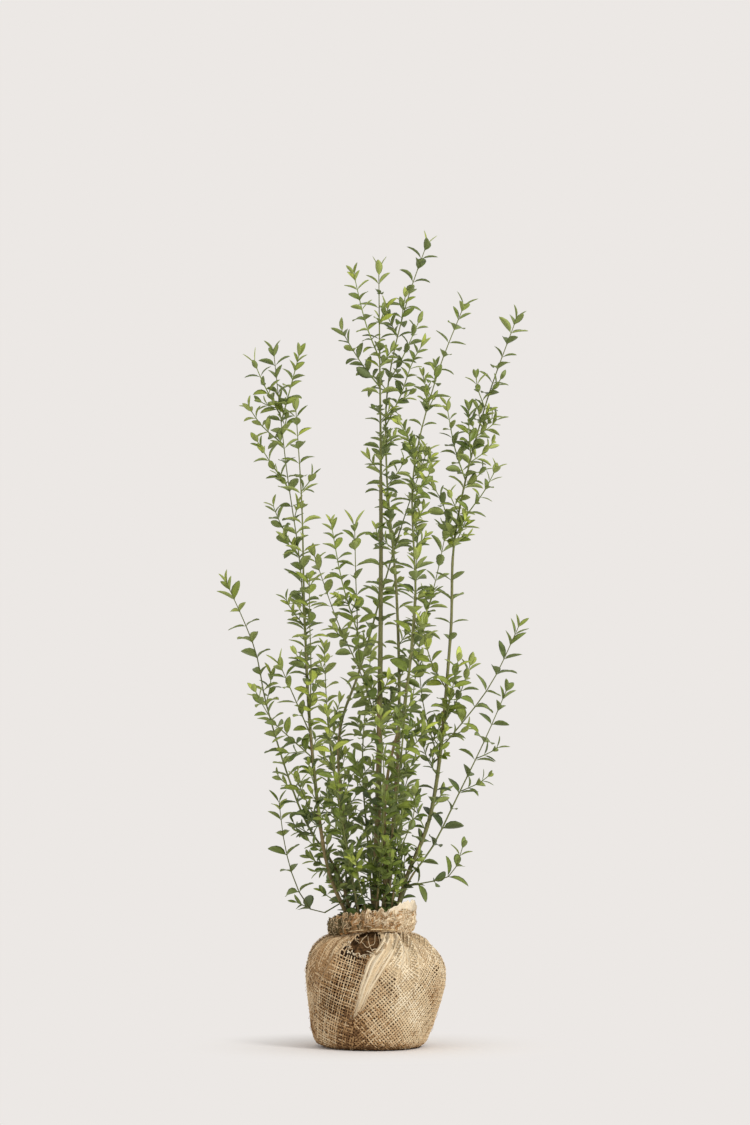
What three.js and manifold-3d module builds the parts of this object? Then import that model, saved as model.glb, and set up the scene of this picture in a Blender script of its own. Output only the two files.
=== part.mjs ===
// A young privet, many stems from one root, standing on a root ball wrapped in burlap.
// Millimetres, +Z up. The origin is the middle of the ball's flat underside. +X is to the right
// of the front view and -Y is towards the viewer.
import * as THREE from "three";
import { mergeVertices } from "three/addons/utils/BufferGeometryUtils.js";
import Module from "manifold-3d";

const wasm = await Module();
wasm.setup();

// Driving dimensions
const GAP = 0.35; // clearance between neighbouring pieces
const BALL_R = 119; // widest radius of the wrapped ball, before its bulges
const FLAT_R = 84; // radius of the flat underside
const NECK_R = 58; // radius of the burlap where it is tied
const NECK_X = -9; // the neck stands a little left of the ball's middle
const WRAP_TOP = 229; // upper edge of the burlap inside the collar
const WRAP_THICK = 2.4;
const SOIL_TOP = 222; // the stems leave the soil here
const FOOT_DEPTH = 7; // of a stem's curve inside the soil before its foot is cut flat
const COLLAR = { ring: 67.7, halfWidth: 8.5, halfHeight: 16, middle: 215.5 };
const TWINE = { ring: 61.9, thick: 1.5, height: 198.5 };
const FLAP = { ring: 71, thick: 2.6, foot: 219, height: 42, from: -68, to: 12, flare: 10 };
const TEAR = { angle: 262, radius: 88, height: 186, half: [34, 25, 20], lip: 5 };
const BULGE = { broad: [0.03, 0.02], folds: [0.03, 0.018] }; // as shares of the ball's radius
const SAG = { share: 0.2, power: 1.5, height: 95 }; // how far the ball's right side draws in below
const ROUND = 36; // segments round the ball

const LEAF = { length: 45, width: 22, thick: 1.5, widest: 0.46, droop: 0.18 };
const LEAF_ROLL = 0.4; // widest spread of a leaf's turn about its own length
const PAIR_SPACING = 39; // between leaf pairs along a twig
const TWIG_R = 1.9; // of a three-sided twig at its foot
const TWIG_TIP_R = 1.3;
const SIDE_TWIG_CHANCE = 0.16;
const SIDE_TWIG_LIFT = 6; // of a side twig above the leaf that it grows over
const SIDE_TWIG_REACH = [48, 80];
const TIP_REACH = 21; // of the leaves at a tip beyond their twig
const TIP_MARGIN = 4; // of twig above its last leaf pair
const LEAF_RING = 2.2; // height of the ring of wood that a leaf pair is drawn out of
const SIDE_TWIG_SLOPE = [0.75, 0.6]; // of a side twig's reach, along its twig and out of it
const LEAF_LEAN = { young: 0.42, old: 1.05, spread: 0.25 }; // of a leaf away from its twig
const YOUNG_PAIRS = 2.5; // leaf pairs below a tip that are smaller and more upright
const YOUNG_SIZE = 0.66;
const FLARE = { share: 0.35, height: 14 }; // of a stem at its foot
const THREE_SIDED = 1.15; // a three-sided twig is this much wider than a round one of its section
const FINEST = [0.03, 0.05, 0.08, 0.12]; // edges shorter than one of these are closed up where pieces join
const THINNEST = 0.006; // the least height of a triangle that closing up may leave
const FIRST_SEED = 11;
const QUARTER = Math.PI / 2;
const THIRD = (2 * Math.PI) / 3;
const FACE_TURN = 0.5; // the most that a leaf turns away from the middle of the twig's face below it

// The stems that rise from the soil. Each passes through its points and carries one mass of leaves from
// the height where its bough ends.
const STEMS = {
  trunk: { r: 6.2, ends: 985, path: [[-3, 0, 222], [4, 0, 529], [7, -4, 887], [3, 0, 1374]] },
  stem_left: {
    r: 4.2, ends: 690,
    path: [[-46, -6, 222], [-84, -20, 306], [-114, -38, 529], [-126, -48, 747], [-131, -52, 942],
      [-142, -62, 1118]],
  },
  stem_back_centre: {
    r: 4, ends: 840,
    path: [[14, 20, 222], [38, 45, 537], [35, 62, 782], [17, 72, 1010], [19, 74, 1158], [51, 66, 1304],
      [93, 56, 1426]],
  },
  stem_inner_right: {
    r: 3.6, ends: 780,
    path: [[12, -18, 222], [18, -40, 467], [47, -52, 592], [66, -62, 765], [63, -70, 992], [103, -82, 1160],
      [156, -96, 1297]],
  },
  stem_crossing: {
    r: 3.6, ends: 700,
    path: [[-30, 22, 222], [-56, 48, 362], [-66, 78, 546], [-30, 92, 660], [38, 104, 896], [94, 104, 1062]],
  },
  stem_right: {
    r: 4.4, ends: 850,
    path: [[28, -2, 222], [52, -8, 294], [93, -14, 402], [128, -24, 712], [136, -20, 887], [187, -8, 1108],
      [250, 0, 1286]],
  },
  stem_far_left: {
    r: 2.8, ends: 340,
    path: [[-40, 6, 222], [-70, 14, 303], [-126, 22, 392], [-194, 36, 592], [-215, 38, 691], [-270, 30, 821]],
  },
  stem_low_right: {
    r: 2.4, ends: 300,
    path: [[30, 14, 222], [58, 26, 289], [96, 40, 343], [142, 56, 434], [192, 66, 536], [234, 70, 632]],
  },
  stem_low_left: {
    r: 1.7, ends: 244,
    path: [[-28, 36, 222], [-60, 45, 246], [-103, 47, 227], [-134, 44, 261], [-159, 38, 334],
      [-174, 30, 439]],
  },
  stem_front_foot: { r: 1.9, ends: 246, path: [[-14, -42, 222], [-29, -66, 278], [-38, -112, 335]] },
  stem_front: { r: 2.4, ends: 275, path: [[-4, -36, 222], [7, -72, 327], [12, -130, 450], [5, -185, 586]] },
  stem_front_left: {
    r: 2.2, ends: 285,
    path: [[-28, -32, 222], [-52, -70, 345], [-72, -124, 467], [-86, -165, 593]],
  },
  stem_front_right: {
    r: 2.2, ends: 275,
    path: [[22, -34, 222], [40, -72, 340], [62, -104, 400], [66, -126, 452]],
  },
  stem_front_tall: {
    r: 2.8, ends: 380,
    path: [[6, -24, 222], [30, -84, 400], [50, -140, 600], [64, -174, 780], [68, -185, 850]],
  },
  stem_back: { r: 2.6, ends: 310, path: [[-6, 44, 222], [-16, 90, 345], [-26, 150, 502], [-9, 215, 712]] },
  stem_back_left: {
    r: 2.4, ends: 310,
    path: [[-50, 12, 222], [-60, 95, 362], [-86, 150, 537], [-96, 190, 712]],
  },
  stem_back_right: {
    r: 2.6, ends: 320,
    path: [[16, 38, 222], [33, 95, 362], [54, 150, 528], [82, 200, 747]],
  },
};

// Side shoots. Each leaves its stem at the height given and passes through its points. One whose stem
// is a bough there is a mass of its own, and the rest are twigs of the mass that they grow in.
const SHOOTS = {
  shoot_upper_left: { on: "stem_left", at: 628, path: [[-135, -14, 840], [-158, 0, 1001], [-184, 10, 1232]] },
  shoot_right_of_trunk: { on: "trunk", at: 560, path: [[47, 25, 656], [93, 60, 775], [128, 100, 926]] },
  shoot_left_of_trunk: { on: "trunk", at: 545, path: [[-30, 40, 653], [-68, 72, 737], [-116, 115, 873]] },
  shoot_mid_left: { on: "trunk", at: 590, path: [[-28, -48, 663], [-35, -88, 763], [-39, -118, 914]] },
  shoot_left_high: { on: "stem_left", at: 537, path: [[-144, -62, 607], [-173, -85, 674]] },
  shoot_left_mid: { on: "stem_left", at: 495, path: [[-144, -62, 530], [-180, -88, 565], [-214, -115, 625]] },
  shoot_left_low: { on: "stem_left", at: 378, path: [[-124, -48, 430], [-145, -68, 480]] },
  shoot_left_front: {
    on: "stem_left", at: 563,
    path: [[-114, -88, 652], [-116, -115, 747], [-116, -128, 821]],
  },
  shoot_right_wide: { on: "stem_right", at: 516, path: [[143, -42, 556], [197, -72, 629], [250, -95, 740]] },
  shoot_right_foot: { on: "stem_right", at: 278, path: [[90, -28, 286], [128, -45, 300], [152, -60, 359]] },
  shoot_right_inner: { on: "stem_right", at: 616, path: [[93, -52, 670], [76, -82, 745]] },
  shoot_right_back: { on: "stem_right", at: 490, path: [[82, 22, 590], [72, 30, 684]] },
  shoot_right_front: { on: "stem_right", at: 540, path: [[125, -58, 595], [142, -84, 680]] },
  shoot_right_rear: { on: "stem_right", at: 560, path: [[144, 25, 610], [168, 50, 676]] },
  shoot_centre_right: {
    on: "stem_inner_right", at: 452,
    path: [[37, -52, 494], [66, -72, 525], [89, -85, 560]],
  },
  shoot_centre_low: { on: "trunk", at: 400, path: [[-26, -50, 467], [-44, -85, 505]] },
  shoot_back_low: { on: "stem_back_centre", at: 350, path: [[45, 75, 432], [60, 100, 485]] },
  twig_trunk_left: { on: "trunk", at: 1194, path: [[-19, -15, 1260], [-44, -30, 1362]] },
  twig_trunk_low_left: { on: "trunk", at: 1150, path: [[-30, 30, 1201], [-69, 55, 1269]] },
  twig_trunk_right: { on: "trunk", at: 1254, path: [[19, -25, 1300]] },
  twig_back_right: { on: "stem_back_centre", at: 1167, path: [[45, 95, 1214], [79, 120, 1292]] },
  twig_back_low: { on: "stem_back_centre", at: 1088, path: [[42, 50, 1143], [64, 38, 1203], [85, 32, 1238]] },
  twig_inner_left: { on: "stem_inner_right", at: 1013, path: [[49, -100, 1061], [33, -112, 1085]] },
  twig_inner_right: { on: "stem_inner_right", at: 957, path: [[84, -104, 978], [98, -118, 1012]] },
  twig_right_top: { on: "stem_right", at: 985, path: [[137, 12, 1045], [121, 34, 1137]] },
  twig_right_mid: { on: "stem_right", at: 1024, path: [[160, -44, 1080], [160, -56, 1118]] },
  twig_right_out: { on: "stem_right", at: 886, path: [[161, -45, 930], [185, -60, 962], [213, -76, 1015]] },
  twig_right_in: { on: "stem_right", at: 873, path: [[116, 20, 947], [94, 46, 990]] },
  twig_left_top: { on: "shoot_upper_left", at: 1101, path: [[-200, -20, 1158], [-220, -32, 1205]] },
  twig_left_top_right: { on: "shoot_upper_left", at: 1088, path: [[-150, -30, 1153], [-133, -42, 1216]] },
  twig_left_out: { on: "shoot_upper_left", at: 1046, path: [[-204, 25, 1087], [-234, 44, 1132]] },
  twig_left_low: { on: "shoot_upper_left", at: 971, path: [[-189, -22, 1021], [-215, -40, 1063]] },
  twig_left_inner: { on: "shoot_upper_left", at: 850, path: [[-170, 24, 913], [-188, 40, 958]] },
  twig_mid_left: { on: "shoot_mid_left", at: 715, path: [[-60, -112, 803], [-81, -142, 915]] },
};

const seeded = (seed) => {
  let state = seed >>> 0;
  return () => {
    state = (Math.imul(state, 1664525) + 1013904223) >>> 0;
    return state / 4294967296;
  };
};

const vec = (point) => new THREE.Vector3(...point);
const mix = THREE.MathUtils.lerp;

// Solids
function solidOf(geometry) {
  geometry.deleteAttribute("normal");
  geometry.deleteAttribute("uv");
  const merged = mergeVertices(geometry, 1e-4);
  return new wasm.Manifold(
    new wasm.Mesh({
      numProp: 3,
      vertProperties: merged.attributes.position.array,
      triVerts: new Uint32Array(merged.index.array),
    }),
  );
}

function geometryOf(solid) {
  const mesh = solid.getMesh();
  const points = new Float32Array(mesh.numVert * 3);
  for (let i = 0; i < mesh.numVert; i++) {
    points.set(mesh.vertProperties.subarray(i * mesh.numProp, i * mesh.numProp + 3), i * 3);
  }
  const geometry = new THREE.BufferGeometry();
  geometry.setAttribute("position", new THREE.BufferAttribute(points, 3));
  geometry.setIndex(new THREE.BufferAttribute(mesh.triVerts, 1));
  geometry.computeVertexNormals();
  return geometry;
}

// Moves every vertex of a geometry with a function of its place.
function reshape(geometry, move) {
  const place = geometry.attributes.position;
  const point = new THREE.Vector3();
  for (let i = 0; i < place.count; i++) {
    point.fromBufferAttribute(place, i);
    move(point);
    place.setXYZ(i, point.x, point.y, point.z);
  }
  return geometry;
}

// The part of a curve between two shares of its length, as a round tapering solid.
function limb(curve, from, to, radiusAt, sides, rings) {
  const rod = new THREE.CylinderGeometry(1, 1, 1, sides, rings);
  const side = new THREE.Vector3();
  const front = new THREE.Vector3();
  return solidOf(
    reshape(rod, (point) => {
      const share = mix(from, to, point.y + 0.5);
      const along = curve.getTangentAt(share);
      side.set(0, 1, 0).cross(along).normalize();
      front.crossVectors(along, side);
      const radius = radiusAt(share);
      const across = point.x * radius;
      const forward = -point.z * radius;
      point.copy(curve.getPointAt(share)).addScaledVector(side, across).addScaledVector(front, forward);
    }),
  );
}

// The root ball
// How far the burlap's radius differs from a round one: broad bulges, and pleats that run out of the neck.
function bulge(angle, height) {
  const pleats = THREE.MathUtils.smoothstep(height, 70, 180);
  const broad = BULGE.broad[0] * Math.cos(2 * angle + 0.6) + BULGE.broad[1] * Math.cos(3 * angle - 1.1);
  const folds = BULGE.folds[0] * Math.cos(9 * angle + 0.8) + BULGE.folds[1] * Math.cos(14 * angle);
  const neck = THREE.MathUtils.smoothstep(height, 178, 196);
  const low = 1 - THREE.MathUtils.smoothstep(height, 0, SAG.height);
  const tucked = SAG.share * Math.max(0, Math.cos(angle)) ** SAG.power * low;
  return 1 + (broad * THREE.MathUtils.smoothstep(height, 0, 90) + folds * pleats) * (1 - neck) - tucked;
}

// The burlap's outer profile from the underside's middle to the tied neck, as radius and height.
const WRAP_PROFILE = [
  [0, 0], [FLAT_R, 0], [FLAT_R + 21, 9], [FLAT_R + 31, 30], [BALL_R, 68], [BALL_R + 2, 110],
  [BALL_R - 2, 142], [BALL_R - 15, 168], [BALL_R - 36, 185], [NECK_R + 2, 196], [NECK_R, WRAP_TOP],
];

// The same profile moved inwards by a thickness.
function inset(profile, depth) {
  return profile.map(([radius, height], i) => {
    const before = profile[Math.max(i - 1, 0)];
    const after = profile[Math.min(i + 1, profile.length - 1)];
    const run = Math.hypot(after[0] - before[0], after[1] - before[1]);
    const inward = [-(after[1] - before[1]) / run, (after[0] - before[0]) / run];
    const moved = radius === 0 ? 0 : radius + inward[0] * depth;
    return [moved, i < 2 ? height + depth : height + inward[1] * depth];
  });
}

function turned(profile) {
  const outline = profile.map(([radius, height]) => new THREE.Vector2(radius, height));
  const lathe = new THREE.LatheGeometry(outline, ROUND);
  lathe.rotateX(QUARTER);
  return solidOf(
    reshape(lathe, (point) => {
      const wider = bulge(Math.atan2(point.y, point.x), point.z);
      const drift = NECK_X * THREE.MathUtils.smoothstep(point.z, 120, 200);
      point.x = point.x * wider + drift;
      point.y *= wider;
    }),
  );
}

function tearCutter(grow) {
  const ball = new THREE.SphereGeometry(1, 14, 9);
  const angle = THREE.MathUtils.degToRad(TEAR.angle);
  ball.scale(TEAR.half[0] + grow, TEAR.half[1] + grow, TEAR.half[2] + grow);
  ball.rotateY(0.25);
  ball.translate(NECK_X + TEAR.radius * Math.cos(angle), TEAR.radius * Math.sin(angle), TEAR.height);
  return solidOf(ball);
}

function burlapWrap() {
  const inside = inset(WRAP_PROFILE, WRAP_THICK);
  const above = WRAP_TOP + 5;
  inside[inside.length - 1][1] = above;
  const cavity = turned([...inside, [0, above]]);
  return turned([...WRAP_PROFILE, [0, WRAP_TOP]]).subtract(cavity).subtract(tearCutter(0));
}

function soilCore() {
  const edge = SOIL_TOP - 4;
  const profile = inset(WRAP_PROFILE, WRAP_THICK + GAP).filter(([, height]) => height < edge);
  const brim = NECK_R - WRAP_THICK - GAP;
  profile.push([brim, edge], [brim - 9, SOIL_TOP], [0, SOIL_TOP]);
  return turned(profile).subtract(tearCutter(-TEAR.lip));
}

// The gathered, rolled edge of the burlap round the neck.
function collarSolid(grow) {
  const ring = new THREE.TorusGeometry(COLLAR.ring, 1, 7, ROUND);
  return solidOf(
    reshape(ring, (point) => {
      const angle = Math.atan2(point.y, point.x);
      const out = Math.hypot(point.x, point.y) - COLLAR.ring;
      const lumps = 1 + 0.07 * Math.sin(7 * angle) + 0.05 * Math.sin(12 * angle + 1);
      const radius = COLLAR.ring + out * (COLLAR.halfWidth + grow) * (out > 0 ? lumps : 1);
      point.x = NECK_X + radius * Math.cos(angle);
      point.y = radius * Math.sin(angle);
      point.z = COLLAR.middle + point.z * (COLLAR.halfHeight * lumps + grow) + 2 * Math.cos(angle + 0.5);
    }),
  );
}

function twineSolid() {
  const ring = new THREE.TorusGeometry(TWINE.ring, TWINE.thick, 4, ROUND);
  ring.translate(NECK_X, 0, TWINE.height);
  return solidOf(ring);
}

// The loose corner of the cloth that stands up on the front right of the collar.
function flapSolid() {
  const sheet = new THREE.BoxGeometry(1, 1, 1, 10, 1, 3);
  return solidOf(
    reshape(sheet, (point) => {
      const share = point.x + 0.5;
      const angle = THREE.MathUtils.degToRad(mix(FLAP.from, FLAP.to, share));
      const crest = FLAP.height * (0.35 + 0.65 * Math.sin(Math.PI * share) ** 0.6);
      const rise = point.z + 0.5;
      const wave = 1.5 * Math.sin(11 * angle) * rise;
      const radius = FLAP.ring - point.y * FLAP.thick + FLAP.flare * (rise ** 2 - 0.35) + wave;
      point.set(NECK_X + radius * Math.cos(angle), radius * Math.sin(angle), FLAP.foot + rise * crest);
    }),
  ).subtract(collarSolid(GAP));
}

// The plant
const curveThrough = (path) => new THREE.CatmullRomCurve3(path.map(vec));

// A path that starts at the soil begins a little inside it, and its foot is then cut off flat.
const sunk = (path) => path.map(([x, y, z], i) => [x, y, i === 0 ? SOIL_TOP - FOOT_DEPTH : z]);

function ground() {
  const block = new THREE.BoxGeometry(300, 300, 60);
  block.translate(0, 0, SOIL_TOP + GAP - 30);
  return solidOf(block);
}

// The share of a curve's length at which it first reaches a height.
function shareAtHeight(curve, height) {
  const steps = 400;
  for (let i = 0; i <= steps; i++) {
    if (curve.getPointAt(i / steps).z >= height) return i / steps;
  }
  return 1;
}

// Pieces of the plant already in place, each with its box, its node and its solid.
const placed = [];
const boxesMeet = (a, b) => [0, 1, 2].every((k) => a.min[k] < b.max[k] + GAP && b.min[k] < a.max[k] + GAP);

function isClear(solid, node) {
  const box = solid.boundingBox();
  return placed.every(
    (other) => other.node === node || !boxesMeet(box, other.box) || other.solid.minGap(solid, GAP) >= GAP,
  );
}

function keep(solid, node) {
  placed.push({ solid, node, box: solid.boundingBox() });
  return solid;
}

function meets(solid, others) {
  const box = solid.boundingBox();
  return others.some((other) => boxesMeet(box, other.boundingBox()) && other.minGap(solid, GAP) < GAP);
}

function meshSolid(points, faces) {
  const geometry = new THREE.BufferGeometry().setFromPoints(points);
  geometry.setIndex(faces);
  return solidOf(geometry);
}

// A twig is three-sided. Its corners stand at these angles round its curve, and its faces between them.
const CORNERS = [Math.PI / 6, (5 * Math.PI) / 6, 1.5 * Math.PI];

function cornersAt(curve, share, radius) {
  const along = curve.getTangentAt(share);
  const side = new THREE.Vector3(0, 1, 0).cross(along).normalize();
  const front = new THREE.Vector3().crossVectors(along, side);
  return CORNERS.map((angle) =>
    curve
      .getPointAt(share)
      .addScaledVector(side, radius * Math.cos(angle))
      .addScaledVector(front, radius * Math.sin(angle)),
  );
}

// A leaf is a kite with a keel below, folded down at its widest. It is drawn out of one of the two
// triangles of a twig's face, whose corners are its points 0 to 2. Points 3 to 6 are the keel, the right
// and left edges and the tip.
const LEAF_SIDES = [
  [0, 1, 4], [0, 4, 3], [1, 2, 5], [1, 5, 4], [2, 0, 3], [2, 3, 5], [3, 4, 6], [4, 5, 6], [5, 3, 6],
];
const LEAF_ROOT = [0, 2, 1];

// The order of a leaf's three root corners that twists its foot least: its keel grows out of the first.
function leastTwist(corners, tips) {
  const middle = corners[0].clone().add(corners[1]).add(corners[2]).divideScalar(3);
  const fit = (turn) =>
    tips.reduce((sum, tip, i) => sum + corners[(i + turn) % 3].clone().sub(middle).dot(tip), 0);
  return [0, 1, 2].reduce((best, turn) => (fit(turn) > fit(best) ? turn : best));
}

function leafPoints(base, middle, along, out, lean, roll, size) {
  const blade = along.clone().multiplyScalar(Math.cos(lean)).addScaledVector(out, Math.sin(lean));
  const upper = along.clone().multiplyScalar(Math.sin(lean)).addScaledVector(out, -Math.cos(lean));
  upper.applyAxisAngle(blade, roll);
  const side = new THREE.Vector3().crossVectors(upper, blade);
  const at = (distance, across, below) =>
    middle
      .clone()
      .addScaledVector(blade, distance)
      .addScaledVector(side, across)
      .addScaledVector(upper, -below);
  const belly = LEAF.widest * size;
  const half = (0.5 * size * LEAF.width) / LEAF.length;
  const [keel, right, left] = [at(belly, 0, LEAF.thick), at(belly, half, 0), at(belly, -half, 0)];
  const turn = leastTwist(base, [keel, right, left]);
  const root = [0, 1, 2].map((i) => base[(i + turn) % 3]);
  return { turn, points: [...root, keel, right, left, at(size, 0, LEAF.droop * size)] };
}

// The wood of a twig, and the leaves that are drawn out of it where each pair has a short ring to itself.
function twigSolid(twig, leaves) {
  const { curve, nodes } = twig;
  const half = LEAF_RING / 2 / curve.getLength();
  const shares = [twig.from, ...nodes.flatMap((share) => [share - half, share + half]), twig.to];
  const points = shares.flatMap((share) => cornersAt(curve, share, twig.radiusAt(share)));
  const faces = [0, 2, 1];
  for (let ring = 0; ring < shares.length - 1; ring++) {
    for (let k = 0; k < 3; k++) {
      const a = 3 * ring + k;
      const b = 3 * ring + ((k + 1) % 3);
      const leaf = leaves.find((one) => 2 * one.node + 1 === ring && one.face === k);
      if (!leaf) {
        faces.push(a, b, b + 3, a, b + 3, a + 3);
        continue;
      }
      const halves = [[a, b + 3, a + 3], [a, b, b + 3]];
      const [foot, rest] = leaf.past ? halves.toReversed() : halves;
      const root = [0, 1, 2].map((i) => foot[(i + leaf.turn) % 3]);
      const index = [...root, points.length, points.length + 1, points.length + 2, points.length + 3];
      points.push(...leaf.points.slice(3));
      faces.push(...rest, ...LEAF_SIDES.flat().map((corner) => index[corner]));
    }
  }
  const last = 3 * (shares.length - 1);
  faces.push(last, last + 1, last + 2);
  return meshSolid(points, faces);
}

// A twig stops short of its curve's end, which the leaves at its tip reach. Its nodes are the places of its
// leaf pairs as shares of the curve's length.
function newTwig(node, curve, from, radius, rank) {
  const length = curve.getLength();
  const to = 1 - TIP_REACH / length;
  const bare = (to - from) * length - TIP_MARGIN;
  const count = Math.max(1, Math.round(bare / PAIR_SPACING));
  const nodes = Array.from({ length: count }, (_, i) => from + ((i + 1) * bare) / count / length);
  const radiusAt = (share) => mix(radius, TWIG_TIP_R, (share - from) / (to - from));
  const twig = { node, curve, from, to, rank, nodes, radiusAt };
  twig.wood = twigSolid(twig, []);
  return twig;
}

// The leaves of one twig in pairs, each turned a quarter from the last, and its side twigs. A leaf that
// would touch another node or another pair is skipped, and so is such a side twig.
function dress(twig, random, mass) {
  const { node, curve, rank, nodes } = twig;
  const length = curve.getLength();
  const turn = 2 * Math.PI * random();
  const leaves = [];
  nodes.forEach((share, i) => {
    const middle = curve.getPointAt(share);
    const along = curve.getTangentAt(share);
    const side = new THREE.Vector3(0, 1, 0).cross(along).normalize();
    const half = LEAF_RING / 2 / length;
    const lower = cornersAt(curve, share - half, twig.radiusAt(share - half));
    const upper = cornersAt(curve, share + half, twig.radiusAt(share + half));
    const young = Math.max(0, 1 - (nodes.length - 1 - i) / YOUNG_PAIRS);
    const pair = [];
    const rest = mass.pieces.filter((piece) => piece !== twig.wood);
    for (const opposite of [0, Math.PI]) {
      const aim = turn + i * QUARTER + opposite + 0.3 * (random() - 0.5);
      const nearest = Math.round((aim - QUARTER) / THIRD);
      const middleAngle = QUARTER + nearest * THIRD;
      const angle = THREE.MathUtils.clamp(aim, middleAngle - FACE_TURN, middleAngle + FACE_TURN);
      const out = side.clone().applyAxisAngle(along, angle);
      const lean = mix(LEAF_LEAN.old, LEAF_LEAN.young, young) + LEAF_LEAN.spread * (random() - 0.5);
      const size = LEAF.length * mix(1, YOUNG_SIZE, young) * (rank > 1 ? 0.85 : 1) * mix(0.88, 1.1, random());
      const face = (nearest + 300) % 3;
      const next = (face + 1) % 3;
      const past = aim > middleAngle;
      const base = past ? [lower[face], lower[next], upper[next]] : [lower[face], upper[next], upper[face]];
      const roll = LEAF_ROLL * (1 - young) * (random() - 0.5);
      const leaf = leafPoints(base, middle, along, out, lean, roll, size);
      const solid = meshSolid(leaf.points, [...LEAF_ROOT, ...LEAF_SIDES.flat()]);
      const sprouts = random() < SIDE_TWIG_CHANCE;
      const reach = mix(...SIDE_TWIG_REACH, random());
      if (isClear(solid, node) && !meets(solid, rest)) pair.push({ ...leaf, solid, face, past, node: i });
      if (rank > 1 || i >= nodes.length - 2 || !sprouts) continue;
      const root = curve.getPointAt(share + SIDE_TWIG_LIFT / length);
      const [rise, run] = SIDE_TWIG_SLOPE;
      const tip = root.clone().addScaledVector(along, rise * reach).addScaledVector(out, run * reach);
      const branch = newTwig(node, new THREE.LineCurve3(root, tip), 0, TWIG_TIP_R + 0.1, 2);
      if (!isClear(branch.wood, node) || meets(branch.wood, rest)) continue;
      mass.pieces.push(keep(branch.wood, node));
      mass.branches.push(branch);
    }
    for (const leaf of pair) mass.pieces.push(keep(leaf.solid, node));
    leaves.push(...pair);
  });
  mass.solids.push(twigSolid(twig, leaves));
}

// The largest body of a solid, without any scrap that a cut leaves.
const largest = (solid) =>
  solid.decompose().reduce((best, body) => (body.volume() > best.volume() ? body : best));

// The least height of a solid's triangles.
function thinnest(solid) {
  const { vertProperties, triVerts, numProp } = solid.getMesh();
  const corner = (index) => new THREE.Vector3().fromArray(vertProperties, triVerts[index] * numProp);
  let least = Infinity;
  for (let i = 0; i < triVerts.length; i += 3) {
    const [a, b, c] = [corner(i), corner(i + 1), corner(i + 2)];
    const longest = Math.max(a.distanceTo(b), b.distanceTo(c), c.distanceTo(a));
    least = Math.min(least, b.sub(a).cross(c.sub(a)).length() / longest);
  }
  return least;
}

// A joined solid without its shortest edges, closed up by the length that leaves the fewest thin triangles.
function closedUp(solid) {
  const whole = largest(solid).asOriginal();
  const choices = FINEST.map((length) => whole.simplify(length));
  const heights = choices.map(thinnest);
  const good = heights.findIndex((height) => height >= THINNEST);
  return choices[good < 0 ? heights.indexOf(Math.max(...heights)) : good];
}

const MATERIALS = {
  burlap: new THREE.MeshStandardMaterial({ color: 0xb89a78, roughness: 0.95 }),
  collar: new THREE.MeshStandardMaterial({ color: 0x8f7150, roughness: 1 }),
  soil: new THREE.MeshStandardMaterial({ color: 0x4a3524, roughness: 1 }),
  twine: new THREE.MeshStandardMaterial({ color: 0xa88c62, roughness: 0.9 }),
  bark: new THREE.MeshStandardMaterial({ color: 0x6f6a48, roughness: 0.8 }),
  leaf: new THREE.MeshStandardMaterial({ color: 0x6f8a3a, roughness: 0.5 }),
};

const sapling = new THREE.Group();

function add(name, solid, material) {
  const mesh = new THREE.Mesh(geometryOf(solid), MATERIALS[material]);
  mesh.name = name;
  sapling.add(mesh);
}

add("burlap_wrap", burlapWrap(), "burlap");
add("soil", soilCore(), "soil");
add("burlap_collar", collarSolid(0), "collar");
add("neck_twine", twineSolid(), "twine");
add("burlap_flap", flapSolid(), "burlap");

// Boughs first, so that every mass keeps clear of them.
const curves = {};
const boughs = {};
for (const [name, stem] of Object.entries(STEMS)) {
  const curve = curveThrough(sunk(stem.path));
  const end = shareAtHeight(curve, stem.ends);
  const flare = (share) => 1 + FLARE.share * Math.exp((-share * curve.getLength()) / FLARE.height);
  const radiusAt = (share) => mix(stem.r, TWIG_TIP_R, share) * flare(share);
  const rings = Math.max(4, Math.round((end * curve.getLength()) / 70));
  const wood = (grow) => limb(curve, 0, end, (share) => radiusAt(share) + grow, stem.r > 3 ? 7 : 6, rings);
  curves[name] = curve;
  boughs[name] = { end, radiusAt, wood };
  add(name, keep(wood(0).subtract(ground()), name), "bark");
}

// The masses that go on from the boughs' tips, and those that leave a bough's side.
const masses = {};
for (const name of Object.keys(STEMS)) {
  const { end, radiusAt } = boughs[name];
  const start = end + GAP / curves[name].getLength();
  const node = `${name}_leaves`;
  masses[name] = { node, twigs: [newTwig(node, curves[name], start, radiusAt(end) * THREE_SIDED, 0)] };
}
for (const [name, shoot] of Object.entries(SHOOTS)) {
  const parent = curves[shoot.on];
  const share = shareAtHeight(parent, shoot.at);
  curves[name] = curveThrough([parent.getPointAt(share).toArray(), ...shoot.path]);
  const bough = boughs[shoot.on];
  if (bough && share < bough.end) {
    const node = `${name}_leaves`;
    masses[name] = { node, bough, twigs: [newTwig(node, curves[name], 0, TWIG_R + 0.2, 0)] };
  } else {
    const { node, twigs } = masses[shoot.on];
    twigs.push(newTwig(node, curves[name], 0, TWIG_R, 1));
  }
}

// All the wood is placed before any leaf.
for (const mass of Object.values(masses)) {
  mass.pieces = mass.twigs.map((twig) => keep(twig.wood, mass.node));
  mass.branches = [];
  mass.solids = [];
}
Object.values(masses).forEach((mass, i) => {
  const random = seeded(FIRST_SEED + i);
  for (const twig of mass.twigs) dress(twig, random, mass);
  for (const twig of mass.branches) dress(twig, random, mass);
  let solid = wasm.Manifold.union(mass.solids);
  if (mass.bough) solid = solid.subtract(mass.bough.wood(GAP));
  add(mass.node, closedUp(solid), "leaf");
});

export default sapling;
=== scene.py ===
"""A young hedging plant with many stems on a root ball wrapped in burlap.

Lengths are millimetres until a mesh is made. The axes are those of the solids: +Z up, +X to the right of
the front view and -Y towards the viewer.
"""
import math

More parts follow.
